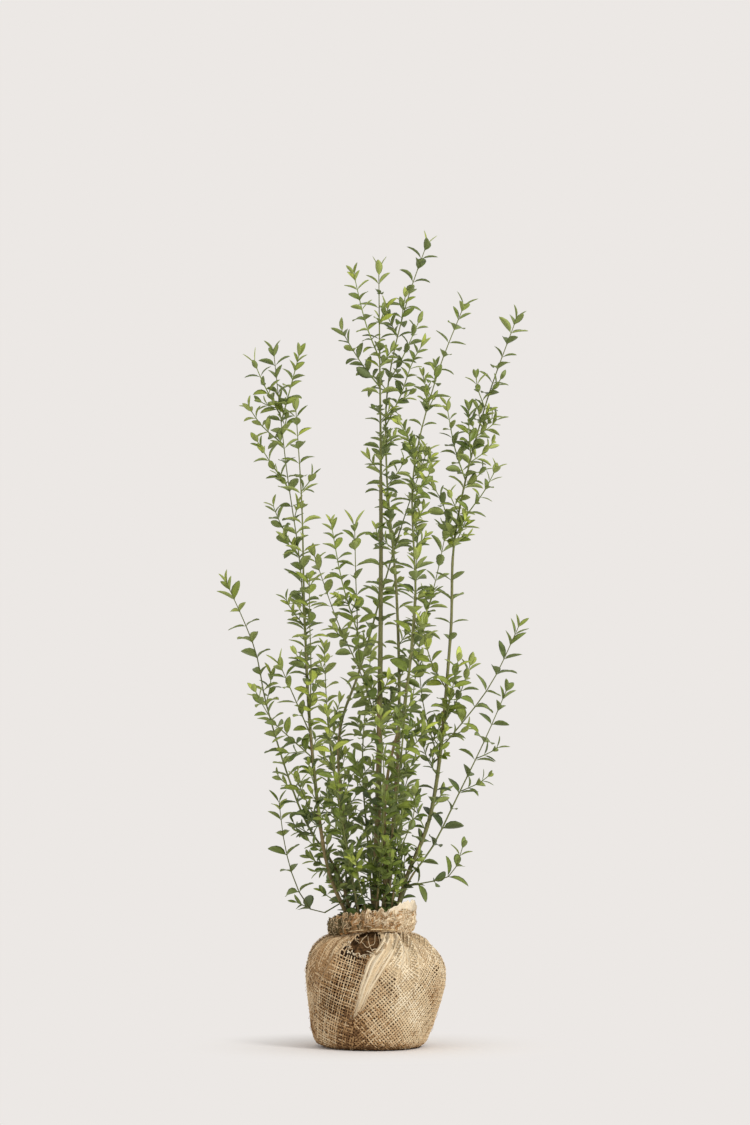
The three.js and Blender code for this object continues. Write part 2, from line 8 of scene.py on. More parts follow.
import bpy
import numpy as np
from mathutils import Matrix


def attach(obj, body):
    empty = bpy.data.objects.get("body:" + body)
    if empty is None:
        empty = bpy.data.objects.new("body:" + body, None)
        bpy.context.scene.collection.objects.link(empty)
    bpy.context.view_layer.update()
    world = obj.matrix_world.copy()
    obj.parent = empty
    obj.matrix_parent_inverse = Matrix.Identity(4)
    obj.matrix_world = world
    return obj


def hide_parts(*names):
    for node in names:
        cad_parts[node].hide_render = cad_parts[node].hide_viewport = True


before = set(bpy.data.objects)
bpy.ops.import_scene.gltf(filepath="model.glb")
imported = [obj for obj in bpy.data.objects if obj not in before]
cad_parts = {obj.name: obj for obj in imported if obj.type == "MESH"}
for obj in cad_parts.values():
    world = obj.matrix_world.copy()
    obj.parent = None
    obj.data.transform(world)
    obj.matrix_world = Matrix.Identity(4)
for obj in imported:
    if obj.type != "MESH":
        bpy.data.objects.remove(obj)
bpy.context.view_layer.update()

# Real sizes. Those of the ball, the neck, the collar, the twine's ring and the flap are the solids' own, but
# for the flap's flare. The tear's outline, the hollow under it and the sag are this model's own.
BALL_R, FLAT_R, NECK_R, NECK_X = 119, 84, 58, -9
WRAP_TOP = 229
COLLAR = {"ring": 67.7, "half_width": 8.5, "middle": 215.5}
# Where no leaf pair starts: between two distances from the neck's axis, below a height
COLLAR_ROOM = (50, 104, 258)
TWINE = {"ring": 61.9, "height": 198.5, "thread": 0.85, "twists": 30}
FLAP = {"ring": 71, "foot": 219, "height": 42, "from": -68, "to": 12, "flare": 9}
TEAR = {"angle": 263, "half_angle": 21, "height": 183, "half_height": 21}
HOLLOW = {"angle": 251, "half_width": 20, "height": 148, "half_height": 34, "deep": 3.5}
# How far the ball draws in on its right, as a share of its radius: low down, up to a height, and above
SAG = {"low": 0.2, "top": 145, "high": 0.035}
ARC = 112  # millimetres to a radian round the ball's side
PLEAT_ARC = 105  # the same where the pleats lie
TAU = 2 * math.pi

SOIL_TOP, FOOT_DEPTH = 222, 7  # a stem's curve starts a little inside the soil

# Stems: radius at the foot, height where the bough ends, the foot's X and Y, and the points that the
# curve passes through
STEMS = {
    "trunk": (6.2, 985, [(-3, 0), (4, 0, 529), (7, -4, 887), (3, 0, 1374)]),
    "stem_left": (4.2, 690, [
        (-46, -6), (-84, -20, 306), (-114, -38, 529), (-126, -48, 747), (-131, -52, 942),
        (-142, -62, 1118),
    ]),
    "stem_back_centre": (4, 840, [
        (14, 20), (38, 45, 537), (35, 62, 782), (17, 72, 1010), (19, 74, 1158), (51, 66, 1304),
        (93, 56, 1426),
    ]),
    "stem_inner_right": (3.6, 780, [
        (12, -18), (18, -40, 467), (47, -52, 592), (66, -62, 765), (63, -70, 992), (103, -82, 1160),
        (156, -96, 1297),
    ]),
    "stem_crossing": (3.6, 700, [
        (-30, 22), (-56, 48, 362), (-66, 78, 546), (-30, 92, 660), (38, 104, 896), (94, 104, 1062),
    ]),
    "stem_right": (4.4, 850, [
        (28, -2), (52, -8, 294), (93, -14, 402), (128, -24, 712), (136, -20, 887), (187, -8, 1108),
        (250, 0, 1286),
    ]),
    "stem_far_left": (2.8, 340, [
        (-40, 6), (-70, 14, 303), (-126, 22, 392), (-194, 36, 592), (-215, 38, 691), (-270, 30, 821),
    ]),
    "stem_low_right": (2.4, 300, [
        (30, 14), (58, 26, 289), (96, 40, 343), (142, 56, 434), (192, 66, 536), (234, 70, 632),
    ]),
    "stem_low_left": (1.7, 244, [
        (-28, 36), (-60, 45, 246), (-103, 47, 227), (-134, 44, 261), (-159, 38, 334), (-174, 30, 439),
    ]),
    "stem_front_foot": (1.9, 246, [(-14, -42), (-29, -66, 278), (-38, -112, 335)]),
    "stem_front": (2.4, 275, [(-4, -36), (7, -72, 327), (12, -130, 450), (5, -185, 586)]),
    "stem_front_left": (2.2, 285, [(-28, -32), (-52, -70, 345), (-72, -124, 467), (-86, -165, 593)]),
    "stem_front_right": (2.2, 275, [(22, -34), (40, -72, 340), (62, -104, 400), (66, -126, 452)]),
    "stem_front_tall": (2.8, 380, [
        (6, -24), (30, -84, 400), (50, -140, 600), (64, -174, 780), (68, -185, 850),
    ]),
    "stem_back": (2.6, 310, [(-6, 44), (-16, 90, 345), (-26, 150, 502), (-9, 215, 712)]),
    "stem_back_left": (2.4, 310, [(-50, 12), (-60, 95, 362), (-86, 150, 537), (-96, 190, 712)]),
    "stem_back_right": (2.6, 320, [(16, 38), (33, 95, 362), (54, 150, 528), (82, 200, 747)]),
}

# Side shoots: the stem that carries one, the height where it leaves, and its points
SHOOTS = {
    "shoot_upper_left": ("stem_left", 628, [(-135, -14, 840), (-158, 0, 1001), (-184, 10, 1232)]),
    "shoot_right_of_trunk": ("trunk", 560, [(47, 25, 656), (93, 60, 775), (128, 100, 926)]),
    "shoot_left_of_trunk": ("trunk", 545, [(-30, 40, 653), (-68, 72, 737), (-116, 115, 873)]),
    "shoot_mid_left": ("trunk", 590, [(-28, -48, 663), (-35, -88, 763), (-39, -118, 914)]),
    "shoot_left_high": ("stem_left", 537, [(-144, -62, 607), (-173, -85, 674)]),
    "shoot_left_mid": ("stem_left", 495, [(-144, -62, 530), (-180, -88, 565), (-214, -115, 625)]),
    "shoot_left_low": ("stem_left", 378, [(-124, -48, 430), (-145, -68, 480)]),
    "shoot_left_front": ("stem_left", 563, [(-114, -88, 652), (-116, -115, 747), (-116, -128, 821)]),
    "shoot_right_wide": ("stem_right", 516, [(143, -42, 556), (197, -72, 629), (250, -95, 740)]),
    "shoot_right_foot": ("stem_right", 278, [(90, -28, 286), (128, -45, 300), (152, -60, 359)]),
    "shoot_right_inner": ("stem_right", 616, [(93, -52, 670), (76, -82, 745)]),
    "shoot_right_back": ("stem_right", 490, [(82, 22, 590), (72, 30, 684)]),
    "shoot_right_front": ("stem_right", 540, [(125, -58, 595), (142, -84, 680)]),
    "shoot_right_rear": ("stem_right", 560, [(144, 25, 610), (168, 50, 676)]),
    "shoot_centre_right": ("stem_inner_right", 452, [(37, -52, 494), (66, -72, 525), (89, -85, 560)]),
    "shoot_centre_low": ("trunk", 400, [(-26, -50, 467), (-44, -85, 505)]),
    "shoot_back_low": ("stem_back_centre", 350, [(45, 75, 432), (60, 100, 485)]),
    "twig_trunk_left": ("trunk", 1194, [(-19, -15, 1260), (-44, -30, 1362)]),
    "twig_trunk_low_left": ("trunk", 1150, [(-30, 30, 1201), (-69, 55, 1269)]),
    "twig_trunk_right": ("trunk", 1254, [(19, -25, 1300)]),
    "twig_back_right": ("stem_back_centre", 1167, [(45, 95, 1214), (79, 120, 1292)]),
    "twig_back_low": ("stem_back_centre", 1088, [(42, 50, 1143), (64, 38, 1203), (85, 32, 1238)]),
    "twig_inner_left": ("stem_inner_right", 1013, [(49, -100, 1061), (33, -112, 1085)]),
    "twig_inner_right": ("stem_inner_right", 957, [(84, -104, 978), (98, -118, 1012)]),
    "twig_right_top": ("stem_right", 985, [(137, 12, 1045), (121, 34, 1137)]),
    "twig_right_mid": ("stem_right", 1024, [(160, -44, 1080), (160, -56, 1118)]),
    "twig_right_out": ("stem_right", 886, [(161, -45, 930), (185, -60, 962), (213, -76, 1015)]),
    "twig_right_in": ("stem_right", 873, [(116, 20, 947), (94, 46, 990)]),
    "twig_left_top": ("shoot_upper_left", 1101, [(-200, -20, 1158), (-220, -32, 1205)]),
    "twig_left_top_right": ("shoot_upper_left", 1088, [(-150, -30, 1153), (-133, -42, 1216)]),
    "twig_left_out": ("shoot_upper_left", 1046, [(-204, 25, 1087), (-234, 44, 1132)]),
    "twig_left_low": ("shoot_upper_left", 971, [(-189, -22, 1021), (-215, -40, 1063)]),
    "twig_left_inner": ("shoot_upper_left", 850, [(-170, 24, 913), (-188, 40, 958)]),
    "twig_mid_left": ("shoot_mid_left", 715, [(-60, -112, 803), (-81, -142, 915)]),
}

# How the shoots grow, for a mass's own curve, its named twigs, its side twigs and the finest ones
LEAF_LENGTH = (32.5, 28, 25, 22)
PAIR_SPACING = (19.5, 17, 15, 14)
SIDE_CHANCE = (0.24, 0.17, 0.07, 0)
LEAF_WIDTH = 0.46  # of a leaf's length
LEAF_THICK = 0.42
TIP_REACH = (13, 13, 12, 12)  # of the leaves at a tip beyond their twig
YOUNG_LENGTH = 32  # below a tip, where leaves are still growing
PLAIN_TIP = (135, 85, 40, 40)  # below a tip, without side twigs
# How full of side twigs the crown is, by height
FULLNESS = [
    (250, 2.4), (520, 2.4), (610, 0.7), (740, 0.3), (840, 0.7), (900, 1.0), (960, 0.6), (1060, 1.3),
    (1110, 1.4), (1190, 0.6), (1430, 0.6),
]
TWIG_TIP_R, BOUGH_TIP_R = 0.75, 1.3
TWIG_R = {"shoot": 1.4, "spur": 1.0, "side": 0.95}
# Side twigs, and spurs on the boughs: length, its shares that they reach along and out, and their bow
SIDE_TWIG = {"length": (38, 74), "slope": (0.78, 0.55, 0.07)}
SPUR = {"length": (30, 72), "slope": (0.8, 0.6, 0.08), "chance": 0.36}
# On a bough: length of its leaves, spacing of the pairs, and where the lowest pair and the lowest spur are
BOUGH_LEAF, BOUGH_SPACING, BOUGH_FIRST, SPUR_FIRST = 30.5, (18, 26), 17.0, 30
# Boughs with fewer leaves than the others: how much wider their pairs are spaced, and from what height
BARE = {"stem_right": (1.6, 520), "stem_inner_right": (1.6, 450), "trunk": (1.5, 0),
        "stem_back_centre": (1.4, 0)}
# Long plain shoots, as the spacing and size of their leaves
PLAIN = {"stem_low_right": 1.4, "shoot_right_wide": 1.35, "stem_low_left": 1.35, "shoot_right_foot": 1.3,
         "stem_far_left": 1.15, "stem_front_tall": 1.3, "stem_back_right": 1.25}
SLIM = 0.84  # thickness of every stem but the trunk, of its solid's


def mix(a, b, share):
    return a + (b - a) * share


def seeded(seed):
    """The solids' generator: numbers in a range, the same in every run."""
    state = seed

    def draw(low=0, high=1):
        nonlocal state
        state = (state * 1664525 + 1013904223) % 4294967296
        return mix(low, high, state / 4294967296)

    return draw


def smoothstep(x, low, high):
    t = np.clip((x - low) / (high - low), 0, 1)
    return t * t * (3 - 2 * t)


def circle(count):
    """Angles of points spaced evenly round a circle."""
    return TAU * np.arange(count) / count


def unit(v):
    return v / np.maximum(np.linalg.norm(v, axis=-1, keepdims=True), 1e-9)


def ripple(x, y, z, scale, seed):
    """Smooth uneven noise from about -1 to 1, as a sum of waves in fixed directions."""
    draw = seeded(seed)
    total = np.zeros(np.broadcast(x, y, z).shape)
    for k in range(7):
        a, b, phase = TAU * draw(), math.acos(2 * draw() - 1), TAU * draw()
        pitch = scale / (0.7 + 0.9 * draw())
        wave = math.sin(b) * math.cos(a) * x + math.sin(b) * math.sin(a) * y + math.cos(b) * z
        total = total + np.sin(TAU * wave / pitch + phase)
    return total / 3.2


def round_ripple(radius, angle, height, scale, seed):
    """The same noise over a cylinder's surface."""
    return ripple(radius * np.cos(angle), radius * np.sin(angle), height, scale, seed)


def polar(radius, angle, height, middle=0):
    """Points at a radius and an angle round an upright axis that stands at a middle in X."""
    x, y = radius * np.cos(angle) + middle, radius * np.sin(angle)
    return np.stack(np.broadcast_arrays(x, y, height), -1)


# Meshes
LOWEST = 0.0002  # in metres, just above the ground


def quads(index):
    """The faces between neighbours in a grid of points' numbers."""
    corners = [index[:-1, :-1], index[:-1, 1:], index[1:, 1:], index[1:, :-1]]
    return np.stack(corners, axis=-1).reshape(-1, 4)


class Pile:
    """Points and faces of many small things that become one mesh."""

    def __init__(self):
        self.points, self.faces, self.tones, self.count = [], [], [], 0

    def add(self, points, faces, tone=0):
        self.points.append(np.asarray(points, float))
        self.faces.extend((np.asarray(faces) + self.count).tolist())
        self.tones.extend([tone] * len(faces) if np.isscalar(tone) else list(tone))
        self.count += len(points)

    def join(self, faces, tone):
        """Faces between points that are there."""
        self.faces.extend(faces)
        self.tones.extend([tone if np.isscalar(tone) else int(tone[0])] * len(faces))

    def grid(self, points, tone, closed=False):
        """Faces over a grid of points, rows by columns. A closed one joins its last column to its first."""
        rows, columns = points.shape[:2]
        index = np.arange(rows * columns).reshape(rows, columns)
        if closed:
            index = np.hstack([index, index[:, :1]])
        self.add(points.reshape(-1, 3), quads(index), tone)


def placed(name, data):
    made = bpy.data.objects.new(name, data)
    bpy.context.scene.collection.objects.link(made)
    return made


def piece(name, pile, materials, replaces):
    """Makes one mesh of a pile and puts it in the place of the solids that it replaces."""
    mesh = bpy.data.meshes.new(name)
    points = np.vstack(pile.points) / 1000
    points[:, 2] = np.maximum(points[:, 2], LOWEST)
    mesh.from_pydata(points.tolist(), [], pile.faces)
    for surface in materials:
        mesh.materials.append(surface)
    mesh.polygons.foreach_set("material_index", pile.tones)
    mesh.polygons.foreach_set("use_smooth", [True] * len(mesh.polygons))
    mesh.update()
    made = placed(name, mesh)
    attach(made, "root")
    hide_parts(*replaces)
    return made


THICK = {"cloth": 0.0012, "frill": 0.0013, "flap": 0.0016}  # in metres


def thicken(made, thickness, offset):
    layer = made.modifiers.new("thickness", "SOLIDIFY")
    layer.thickness, layer.offset = thickness, offset


# Materials
def linear(*rgb):
    """A screen colour as the light that it gives, with a full alpha."""
    shares = [value / 255 for value in rgb]
    return (*(s / 12.92 if s <= 0.04045 else ((s + 0.055) / 1.055) ** 2.4 for s in shares), 1)


def scaled(colour, factor):
    return tuple(min(1, c * factor) for c in colour[:3]) + (1,)


def material(name, rgb, rough, spread, grain, bump, specular, stretch=(1, 1, 1)):
    """A surface of one colour with a fine uneven grain in its colour, roughness and relief."""
    colour = linear(*rgb)
    made = bpy.data.materials.new(name)
    made.use_nodes = True
    nodes, links = made.node_tree.nodes, made.node_tree.links
    shader = nodes["Principled BSDF"]
    shader.inputs["Specular IOR Level"].default_value = specular
    where = nodes.new("ShaderNodeTexCoord")
    mapping = nodes.new("ShaderNodeMapping")
    mapping.inputs["Scale"].default_value = stretch
    noise = nodes.new("ShaderNodeTexNoise")
    noise.inputs["Scale"].default_value = grain
    noise.inputs["Detail"].default_value = 4
    links.new(where.outputs["Object"], mapping.inputs["Vector"])
    links.new(mapping.outputs["Vector"], noise.inputs["Vector"])
    ramp = nodes.new("ShaderNodeValToRGB")
    for stop, position, factor in zip(ramp.color_ramp.elements, (0.3, 0.7), (1 - spread, 1 + spread)):
        stop.position, stop.color = position, scaled(colour, factor)
    links.new(noise.outputs["Fac"], ramp.inputs["Fac"])
    links.new(ramp.outputs["Color"], shader.inputs["Base Color"])
    level = nodes.new("ShaderNodeMapRange")
    level.inputs["To Min"].default_value = rough - 0.08
    level.inputs["To Max"].default_value = min(1, rough + 0.08)
    links.new(noise.outputs["Fac"], level.inputs["Value"])
    links.new(level.outputs["Result"], shader.inputs["Roughness"])
    if bump:
        relief = nodes.new("ShaderNodeBump")
        relief.inputs["Strength"].default_value = bump
        relief.inputs["Distance"].default_value = 0.001
        links.new(noise.outputs["Fac"], relief.inputs["Height"])
        links.new(relief.outputs["Normal"], shader.inputs["Normal"])
    return made


# Surfaces: colour, roughness, spread of the colour, fineness of the grain, relief and gloss. The wood's
# grain is drawn out along it.
SURFACES = {
    "bark": ((128, 112, 76), 0.74, 0.3, 900, 0.6, 0.3, (1, 1, 0.25)),
    "green_bark": ((112, 112, 68), 0.66, 0.26, 900, 0.4, 0.35, (1, 1, 0.25)),
    "green_wood": ((108, 114, 60), 0.6, 0.2, 700, 0.2, 0.35, (1, 1, 0.3)),
    "fine_wood": ((122, 136, 62), 0.55, 0.18, 700, 0.1, 0.4, (1, 1, 0.3)),
    # The next two are the sheet under the threads: the soil's brown seen through the weave, deepened into
    # painted shade in the gaps, darkest where the weave is open.
    "cloth_base": ((80, 58, 34), 0.95, 0.25, 500, 0.5, 0.15),
    "cloth_dark": ((46, 31, 18), 1.0, 0.3, 500, 0.5, 0.1),
    "cloth_cream": ((204, 182, 146), 0.92, 0.12, 600, 0.5, 0.18),
    "cloth_stain": ((92, 62, 34), 0.97, 0.25, 500, 0.5, 0.12),
    "cloth_sand": ((168, 138, 102), 0.95, 0.2, 500, 0.5, 0.15),
    "thread_pale": ((218, 196, 160), 0.9, 0.18, 700, 0.4, 0.2),
    "thread_mid": ((200, 172, 134), 0.9, 0.2, 700, 0.4, 0.2),
    "thread_warm": ((164, 130, 90), 0.92, 0.22, 700, 0.4, 0.18),
    "thread_brown": ((116, 86, 56), 0.95, 0.28, 700, 0.4, 0.15),
    "thread_cream": ((234, 218, 188), 0.88, 0.12, 700, 0.3, 0.2),
    "thread_moss": ((112, 100, 70), 0.97, 0.3, 700, 0.4, 0.12),
    "soil_brown": ((92, 68, 43), 1.0, 0.65, 160, 1.0, 0.1),
    "soil_dark": ((52, 36, 23), 1.0, 0.6, 160, 1.0, 0.1),
    "collar_brown": ((110, 82, 52), 1.0, 0.4, 420, 0.9, 0.1),
    "collar_sand": ((150, 120, 84), 0.97, 0.3, 420, 0.8, 0.12),
    "frill_brown": ((100, 88, 62), 1.0, 0.5, 420, 1.0, 0.1),
    "frill_sand": ((170, 130, 86), 0.97, 0.4, 420, 0.9, 0.12),
    "frill_pale": ((238, 220, 190), 0.95, 0.14, 520, 0.5, 0.15),
    "twine_straw": ((214, 190, 148), 0.9, 0.2, 900, 0.5, 0.2),
    "flap_cream": ((240, 226, 200), 0.92, 0.1, 500, 0.4, 0.15),
    # The next colour is a painted shadow at the flap's foot.
    "flap_painted_shadow": ((150, 116, 82), 0.95, 0.3, 420, 0.8, 0.12),
    "floor_pale": ((226, 224, 223), 0.95, 0.004, 2, 0.0, 0.05),
}


def surfaces(*names):
    return [material(name, *SURFACES[name]) for name in names]


# Curves
class Curve:
    """A centripetal curve through points, read by the share of its length."""

    def __init__(self, points):
        p = np.array(points, float)
        p = np.vstack([2 * p[0] - p[1], p, 2 * p[-1] - p[-2]])
        t = np.linspace(0, 1, 40, endpoint=False)[:, None]
        parts = []
        for a, b, c, d in zip(p, p[1:], p[2:], p[3:]):
            e, f, g = (max(np.linalg.norm(v), 1e-4) ** 0.5 for v in (b - a, c - b, d - c))
            m = ((b - a) / e - (c - a) / (e + f) + (c - b) / f) * f
            n = ((c - b) / f - (d - b) / (f + g) + (d - c) / g) * f
            parts.append(b + m * t + (3 * c - 3 * b - 2 * m - n) * t**2 + (2 * b - 2 * c + m + n) * t**3)
        self.points = np.vstack([*parts, p[-2:-1]])
        steps = np.linalg.norm(np.diff(self.points, axis=0), axis=1)
        self.run = np.concatenate([[0], np.cumsum(steps)])
        self.length = self.run[-1]

    def at(self, share):
        distance = np.asarray(share) * self.length
        return np.stack([np.interp(distance, self.run, self.points[:, k]) for k in range(3)], axis=-1)

    def along(self, share):
        share = np.asarray(share)
        reach = 2 / self.length
        return unit(self.at(np.minimum(share + reach, 1)) - self.at(np.maximum(share - reach, 0)))

    def share_at_height(self, height):
        return self.run[np.argmax(self.points[:, 2] >= height)] / self.length


def axes(along):
    side = unit(np.cross(np.array([0.0, 1.0, 0.0]), along))
    return side, np.cross(along, side)


def outward(curve, share, turn):
    """A curve's direction at a share of its length, and the direction out of it at a turn."""
    along = curve.along(share)
    side, front = axes(along)
    return along, math.cos(turn) * side + math.sin(turn) * front


def tube(pile, curve, shares, radii, sides, tone=0):
    """A closed tube along a curve. radii has one number for a ring, or one for each of its points."""
    shares = np.asarray(shares)
    side, front = axes(curve.along(shares))
    angle = circle(sides)
    radii = np.broadcast_to(np.asarray(radii).reshape(len(shares), -1), (len(shares), sides))[..., None]
    middle = curve.at(shares)
    turn = np.cos(angle)[None, :, None] * side[:, None] + np.sin(angle)[None, :, None] * front[:, None]
    points = middle[:, None] + radii * turn
    first = pile.count
    pile.grid(points, tone, closed=True)
    last, foot = first + (len(shares) - 1) * sides, pile.count
    pile.add(middle[[0, -1]], np.zeros((0, 3), int))
    ring = np.arange(sides)
    after = (ring + 1) % sides
    pile.join(np.stack([first + after, first + ring, np.full(sides, foot)], -1).tolist(), tone)
    pile.join(np.stack([last + ring, last + after, np.full(sides, foot + 1)], -1).tolist(), tone)


# Leaves
class Leaves:
    """Leaves of one tone, each a thin closed blade that folds at its midrib and bends down."""

    STATIONS = np.array([0, 0.09, 0.24, 0.44, 0.66, 0.88, 1])
    WIDTHS = np.array([0.06, 0.17, 0.72, 1, 0.95, 0.53, 0.04])
    ACROSS = np.array([-1, -0.5, 0, 0.5, 1])

    def __init__(self):
        self.rows = []

    def add(self, root, blade, upper, length, width, bend, fold):
        self.rows.append((*root, *blade, *upper, length, width, bend, fold))

    def pile(self):
        rows, columns = len(self.STATIONS), len(self.ACROSS)
        top = np.arange(rows * columns).reshape(rows, columns)
        below = top.copy()
        below[1:-1, 1:-1] = top.size + np.arange((rows - 2) * (columns - 2)).reshape(rows - 2, -1)
        upper_faces, under_faces = quads(top)[:, [0, 3, 2, 1]], quads(below)[:, [1, 2, 3, 0]]
        faces = np.vstack([upper_faces, under_faces])
        tones = [0] * len(upper_faces) + [1] * len(under_faces)
        data = np.array(self.rows)
        root, blade, upper = data[:, 0:3], data[:, 3:6], data[:, 6:9]
        length, width, bend, fold = (data[:, k, None] for k in (9, 10, 11, 12))
        side = np.cross(upper, blade)
        sheet = np.concatenate([top.ravel(), top[1:-1, 1:-1].ravel()])
        t = np.repeat(self.STATIONS, columns)[sheet]
        half = (np.repeat(self.WIDTHS, columns) * np.tile(self.ACROSS, rows))[sheet]
        thick = LEAF_THICK * (np.arange(len(sheet)) >= top.size)
        across = half * width / 2
        rise = np.abs(across) * fold - thick
        x = length * np.sin(bend * t) / bend + rise * np.sin(bend * t)
        z = -length * (1 - np.cos(bend * t)) / bend + rise * np.cos(bend * t)
        points = (root[:, None] + x[..., None] * blade[:, None] + across[..., None] * side[:, None]
                  + z[..., None] * upper[:, None])
        pile = Pile()
        count = points.shape[1]
        offsets = (np.arange(len(data)) * count)[:, None, None]
        pile.add(points.reshape(-1, 3), (faces[None] + offsets).reshape(-1, 4), tones * len(data))
        return pile


TONES = 6
tones = [Leaves() for _ in range(TONES)]
twigs = Pile()


def tone_of(height, draw, young, spray=0.0):
    """Leaves are darker low in the crown and brighter towards every tip."""
    level = 1.2 + 1.15 * smoothstep(height, 300, 680) - 0.4 * smoothstep(height, 900, 1200)
    level = level + 1.1 * young + 2.4 * (draw() - 0.5) + spray
    return int(np.clip(round(float(level)), 0, TONES - 1))


def fullness(height):
    return np.interp(height, *zip(*FULLNESS))


def leaf_scale(height):
    return mix(0.94, 1.03, smoothstep(height, 280, 800))


def leaf_pair(curve, share, angle, draw, size, young, tone):
    """Two leaves that face each other across a twig. They share most of their size and stance."""
    middle = curve.at(share)
    pair_lean = mix(0.98, 0.42, young) + 0.4 * (draw() - 0.5)
    pair_bend = mix(0.72, 0.2, young) * draw(0.4, 1.4)
    pair_length, fold = size * draw(0.82, 1.18), draw(0.22, 0.5)
    for half in (0, math.pi):
        along, out = outward(curve, share, angle + half + 0.3 * (draw() - 0.5))
        lean = pair_lean + 0.2 * (draw() - 0.5)
        blade = math.cos(lean) * along + math.sin(lean) * out
        upper = math.sin(lean) * along - math.cos(lean) * out
        roll = 1.1 * (1 - 0.6 * young) * (draw() - 0.5)
        upper = math.cos(roll) * upper + math.sin(roll) * np.cross(blade, upper)
        length = pair_length * draw(0.92, 1.08)
        width = length * LEAF_WIDTH * draw(0.9, 1.12) * mix(1, 0.74, young)
        bend = pair_bend * draw(0.8, 1.2)
        tones[tone].add(middle + 0.5 * out, blade, upper, length, width, bend, fold)


def by_collar(place):
    """Whether a leaf at a place would run into the collar's side."""
    near, far, top = COLLAR_ROOM
    return near < math.hypot(place[0] - NECK_X, place[1]) < far and place[2] < top


def pair_places(length, rank, draw, wide):
    """Distances of the leaf pairs below a tip: close together there, then further apart."""
    places, step, distance = [], 11, 2.5
    while distance < length:
        places.append(distance)
        distance += step * wide * draw(0.88, 1.12)
        far = PAIR_SPACING[rank] * (1 + (0.32 * (1 - smoothstep(distance, 200, 420)) if rank == 0 else 0))
        step = min(step * 1.35, far)
    return places


def side_twig(root, along, out, length, slope):
    """The curve of a side twig, bowed outwards."""
    ahead, aside, bow = slope
    tip = root + ahead * length * along + aside * length * out
    return Curve([root, mix(root, tip, 0.5) + bow * length * out, tip])


def grow(curve, start, radius, draw, rank, wide=1.0):
    """One twig: its wood, its leaf pairs, each a quarter turn from the last, and its side twigs."""
    end = max(1 - TIP_REACH[rank] / curve.length, start + 0.3 * (1 - start))
    bare = (end - start) * curve.length
    places = pair_places(bare - 3, rank, draw, wide)
    side_chance = SIDE_CHANCE[rank] * (0.3 if wide > 1 else 1)
    marks = sorted({0.0, 1.0, *(1 - p / bare + d / bare for p in places for d in (-1.4, 0, 1.4))})
    marks = np.clip(np.array(marks), 0, 1)
    swell = sum(np.exp(-(((1 - marks) * bare - p) / 0.9) ** 2) for p in places)
    radii = mix(radius, TWIG_TIP_R, marks) * (1 + 0.22 * np.minimum(swell, 1))
    tube(twigs, curve, mix(start, end, marks), radii, 5 if rank < 2 else 4, 0 if rank < 1 else 1)
    turn = TAU * draw()
    spray = 1.6 * (draw() - 0.5)
    for i, place in enumerate(places):
        share = end - place / curve.length
        height = float(curve.at(share)[2])
        young = math.exp(-place / YOUNG_LENGTH)
        size = LEAF_LENGTH[rank] * mix(1, 0.82, young) * wide**0.4 * leaf_scale(height)
        angle = turn + i * math.pi / 2
        tone = tone_of(height, draw, young, spray)
        if not by_collar(curve.at(share)):
            leaf_pair(curve, share, angle, draw, size, young, tone)
        for half in (0, math.pi):
            if draw() >= side_chance * fullness(height) or place < PLAIN_TIP[rank]:
                continue
            along, out = outward(curve, share, angle + half)
            length = draw(*SIDE_TWIG["length"]) * (1 if rank == 0 else 0.75)
            root = curve.at(share + 3 / curve.length)
            twig = side_twig(root, along, out, length, SIDE_TWIG["slope"])
            grow(twig, 0, TWIG_R["side"], draw, min(rank + 2, 3))


# The boughs, with the relief of their bark, and the short leafy spurs that they carry. A bough flares at
# its foot and swells at each joint, where a leaf pair is.
BARK_STEP = 3.2
FLARE, FLARE_REACH = 0.4, 14
JOINT, JOINT_REACH = 0.16, 1.8
boughs = Pile()
curves, ends, masses = {}, {}, {}
for name, (_, height, path) in STEMS.items():
    curve = Curve([(*path[0], SOIL_TOP - FOOT_DEPTH), *path[1:]])
    curves[name], ends[name] = curve, curve.share_at_height(height)
    masses[name] = [(name, ends[name])]
for name, (parent, height, path) in SHOOTS.items():
    share = curves[parent].share_at_height(height)
    curves[name] = Curve([tuple(curves[parent].at(share)), *path])
    own = parent not in ends or share >= ends[parent]
    masses.setdefault(parent if own else name, []).append((name, 0))

for number, (name, (radius, _, _)) in enumerate(STEMS.items()):
    radius *= 1 if name == "trunk" else SLIM
    curve, end = curves[name], ends[name] + 0.002
    draw = seeded(900 + number)
    length = end * curve.length
    rings = max(8, int(length / BARK_STEP))
    shares = np.linspace(0, end, rings)
    sides = 14 if radius > 3 else 10
    angle = circle(sides)
    run = shares[:, None] * curve.length
    flare = 1 + FLARE * np.exp(-run / FLARE_REACH)
    grain = 0.05 * ripple(run / 9, 6 * np.cos(angle), 6 * np.sin(angle), 8, 31 + number)
    joints = np.zeros_like(run)
    place = BOUGH_FIRST
    shades = ripple(shares * curve.length, 0 * shares, 0 * shares, 150, 51 + number)
    while place < length - 8:
        joints = joints + JOINT * np.exp(-(((run - place) / JOINT_REACH) ** 2))
        share = place / curve.length
        height = float(curve.at(share)[2])
        if radius < 3 or draw() < 0.8:
            tone = tone_of(height, draw, 0.0)
            leaf_pair(curve, share, TAU * draw(), draw, BOUGH_LEAF * leaf_scale(height), 0.0, tone)
        if draw() < SPUR["chance"] * fullness(height) and place > SPUR_FIRST:
            along, out = outward(curve, share, TAU * draw())
            twig = side_twig(curve.at(share), along, out, draw(*SPUR["length"]), SPUR["slope"])
            grow(twig, 0, TWIG_R["spur"], draw, 2)
        spacing, low = BARE.get(name, (1, 0))
        place += draw(*BOUGH_SPACING) * (spacing if height > low else 1)
    radii = mix(radius, BOUGH_TIP_R, shares[:, None]) * flare * (1 + grain + joints)
    greener = shades[:-1, None] + 0.5 * np.cos(angle)[None] + 1.6 * smoothstep(run[:-1], 0, 700) > 0.3
    tube(boughs, curve, shares, radii, sides, greener.astype(int).ravel().tolist())

